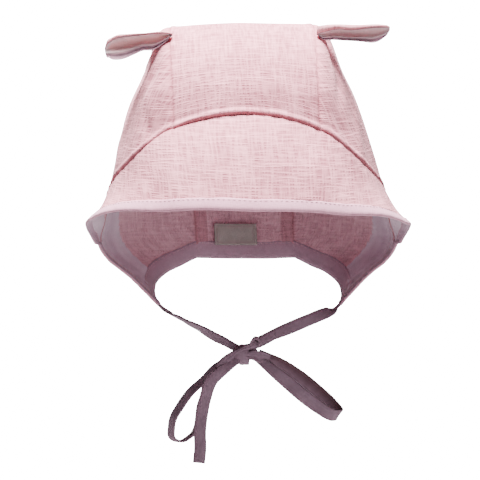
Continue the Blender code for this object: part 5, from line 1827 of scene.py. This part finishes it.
def bow_rows(table, seats):
    """Rows of a loop or tail; its rows at the knot lie a little inside the knot's side."""
    placed = []
    for k, (x, y, z, width, *facing) in enumerate(table):
        offset = BOW_SCALE * (x, y, z)
        if k in seats:
            offset = knot_side(offset) * SEAT_SHARE
        placed.append((KNOT_MIDDLE + offset, width * TIE_WIDTH, unit(facing)))
    return placed


def tie_rows(table, sign, rise):
    """Rows of a tie from its flap's corner to the knot."""
    centre, way, _ = (part[-1] for part in face_half)
    inner = centre + way * 0.5 * FACE_TAPE_WIDTH + flap_along * SEAM_GAP
    side = np.array((sign, 1.0, 1.0))
    corner = worn(inner * side)
    start = corner + flap_along * side * TIE_START
    seat = (sign * (0.5 * KNOT_SIZE[0] + TIE_SEAT - TIE_TUCK), 0.0, rise * KNOT_SIZE[2])
    end = KNOT_MIDDLE + seat
    lead = corner - flap_along * side * TIE_LEAD
    rows = [(lead, TIE_WIDTH * TIE_LEAD_WIDTH, way * side), (start, TIE_WIDTH, way * side)]
    for share, width, *facing in table:
        rows.append((start + (end - start) * share, width * TIE_WIDTH, unit(facing)))
    return rows


strap_lines = [
    strap("tie_left_strap", "tie_left", tie_rows(TIE_LEFT, -1, TIE_LEFT_RISE), 70.0),
    strap("tie_right_strap", "tie_right", tie_rows(TIE_RIGHT, 1, TIE_RIGHT_RISE), 71.0),
    strap("bow_loop_left_strap", "bow_loop_left", bow_rows(LOOP_LEFT, (0, 11)), 72.0, 2, 1),
    strap("bow_loop_right_strap", "bow_loop_right", bow_rows(LOOP_RIGHT, (0, 10)), 73.0, 2, -1),
    strap("tie_tail_left_strap", "tie_tail_left", bow_rows(TAIL_LEFT, (0,)), 74.0, 0),
    strap("tie_tail_right_strap", "tie_tail_right", bow_rows(TAIL_RIGHT, (0,)), 75.0, 0),
]
stitch_piece("strap_stitches", strap_lines, TIE_THREAD)

# %% [markdown]
# ## The knot
#
# One strap wraps round the other and pulls it tight: a ribbed upright wrap in front, a strap
# that crosses over it from the right tie down to the left tail, a short fold towards the
# right loop, and a small loop of slack that stands up on top. A sculpted lump would look like
# dough, so the knot is a rounded core with the real wraps laid over it as short straps.

# %% The knot's core
KNOT_CORE_SHARE = 0.36
KNOT_TURNS = 48
KNOT_SINK = np.array((0.0, 0.0005, -0.0012))
KNOT_RINGS = 28


def knot_core():
    points = []
    for j in range(KNOT_RINGS + 1):
        up = math.pi * j / KNOT_RINGS
        for i in range(KNOT_TURNS):
            turn = 2.0 * math.pi * i / KNOT_TURNS
            points.append((math.sin(up) * math.cos(turn), math.sin(up) * math.sin(turn),
                           math.cos(up)))
    away = np.array(points)
    shape = np.sign(away) * np.abs(away) ** KNOT_ROUND
    lumps = soft_noise(away, (0.5, 0.5, 0.5), 80.0)
    size = KNOT_CORE_SHARE * KNOT_SIZE
    points = KNOT_MIDDLE + KNOT_SINK + shape * size * (1.0 + 0.06 * lumps)[:, None]
    faces = []
    for j in range(KNOT_RINGS):
        for i in range(KNOT_TURNS):
            k = (i + 1) % KNOT_TURNS
            low, high = j * KNOT_TURNS, (j + 1) * KNOT_TURNS
            faces.append((low + i, high + i, high + k, low + k))
    facts = {
        "flat_place": (points - KNOT_MIDDLE).astype(np.float32),
        "seam_distance": np.full(len(points), 0.02, np.float32),
        "shaded_band": np.zeros(len(points), np.float32),
    }
    return new_piece("knot_core", points, faces, [TIE_TAPE], facts)


finish_piece(knot_core(), "tie_tape", "bow_knot")

# %% The knot's wraps
# Each wrap: rows of x, y and z in mm from the knot's middle, width in mm, width direction
KNOT_WRAPS = {
    "knot_wrap": (
        (-3.9, 3.0, 2.2, 6.6, 1.0, 0.0, 0.1), (-4.1, -2.2, 3.2, 7.6, 1.0, 0.1, 0.1),
        (-4.2, -5.6, 0.9, 9.2, 1.0, 0.0, 0.0), (-4.2, -6.0, -3.5, 10.0, 1.0, 0.0, 0.0),
        (-4.0, -4.9, -7.2, 9.8, 1.0, 0.0, -0.1), (-3.9, 0.2, -8.4, 8.4, 1.0, 0.0, -0.1),
        (-3.8, 4.0, -5.0, 7.0, 1.0, 0.0, 0.0),
    ),
    "knot_crossover": (
        (17.0, -0.3, 10.2, 6.4, 0.35, 0.0, -0.94), (11.6, -1.6, 7.6, 7.0, 0.35, 0.0, -0.94),
        (5.6, -5.0, 4.6, 5.8, 0.4, 0.1, -0.9), (-0.2, -7.0, 2.9, 3.6, 0.4, 0.1, -0.9),
        (-5.2, -7.7, 1.0, 3.0, 0.4, 0.0, -0.9), (-9.6, -7.4, -1.7, 4.4, 0.5, 0.0, -0.85),
        (-14.0, -7.8, -5.4, 6.2, 0.6, 0.0, -0.8), (-18.2, -9.0, -10.6, 7.2, 0.8, 0.0, -0.6),
    ),
    "knot_right_fold": (
        (-0.9, -5.9, -2.2, 3.2, 0.2, 0.0, 1.0), (3.4, -6.4, -2.6, 6.4, 0.25, 0.0, 0.95),
        (8.2, -6.2, -3.6, 7.4, 0.35, 0.0, 0.93), (13.0, -5.2, -5.6, 6.6, 0.5, 0.0, 0.85),
    ),
    "knot_slack_loop": (
        (2.2, -5.2, 3.4, 3.4, 0.2, 1.0, 0.0), (2.2, -6.6, 6.6, 3.8, 0.2, 1.0, 0.0),
        (4.6, -6.8, 8.6, 4.0, 0.0, 1.0, 0.3), (7.0, -6.4, 7.2, 3.8, -0.2, 1.0, 0.0),
        (6.6, -5.0, 3.8, 3.4, 0.0, 1.0, 0.0),
    ),
}
WRAP_THICK = 1.15e-3
WRAP_RIB = 0.00032
WRAP_RIBS = 7.0
for number, (name, table) in enumerate(KNOT_WRAPS.items()):
    rows = [
        (KNOT_MIDDLE + np.array(row[:3]) * MM, row[3] * MM, unit(row[4:])) for row in table
    ]
    centre, way, normal, width, run = strap_frame(rows)
    thick = np.full(len(run), WRAP_THICK)
    piece = swept(name, centre, way, normal, width, thick, STRAP_SECTION, TIE_TAPE,
                  strap_facts(0))
    points = np.array([v.co for v in piece.data.vertices])
    across = np.tile([a for a, _ in STRAP_SECTION], len(centre))
    rib = WRAP_RIB * np.cos(across * WRAP_RIBS * math.pi + number)
    points += np.repeat(normal, len(STRAP_SECTION), axis=0) * rib[:, None]
    piece.data.vertices.foreach_set("co", points.ravel())
    finish_piece(piece, "tie_tape", "bow_knot")
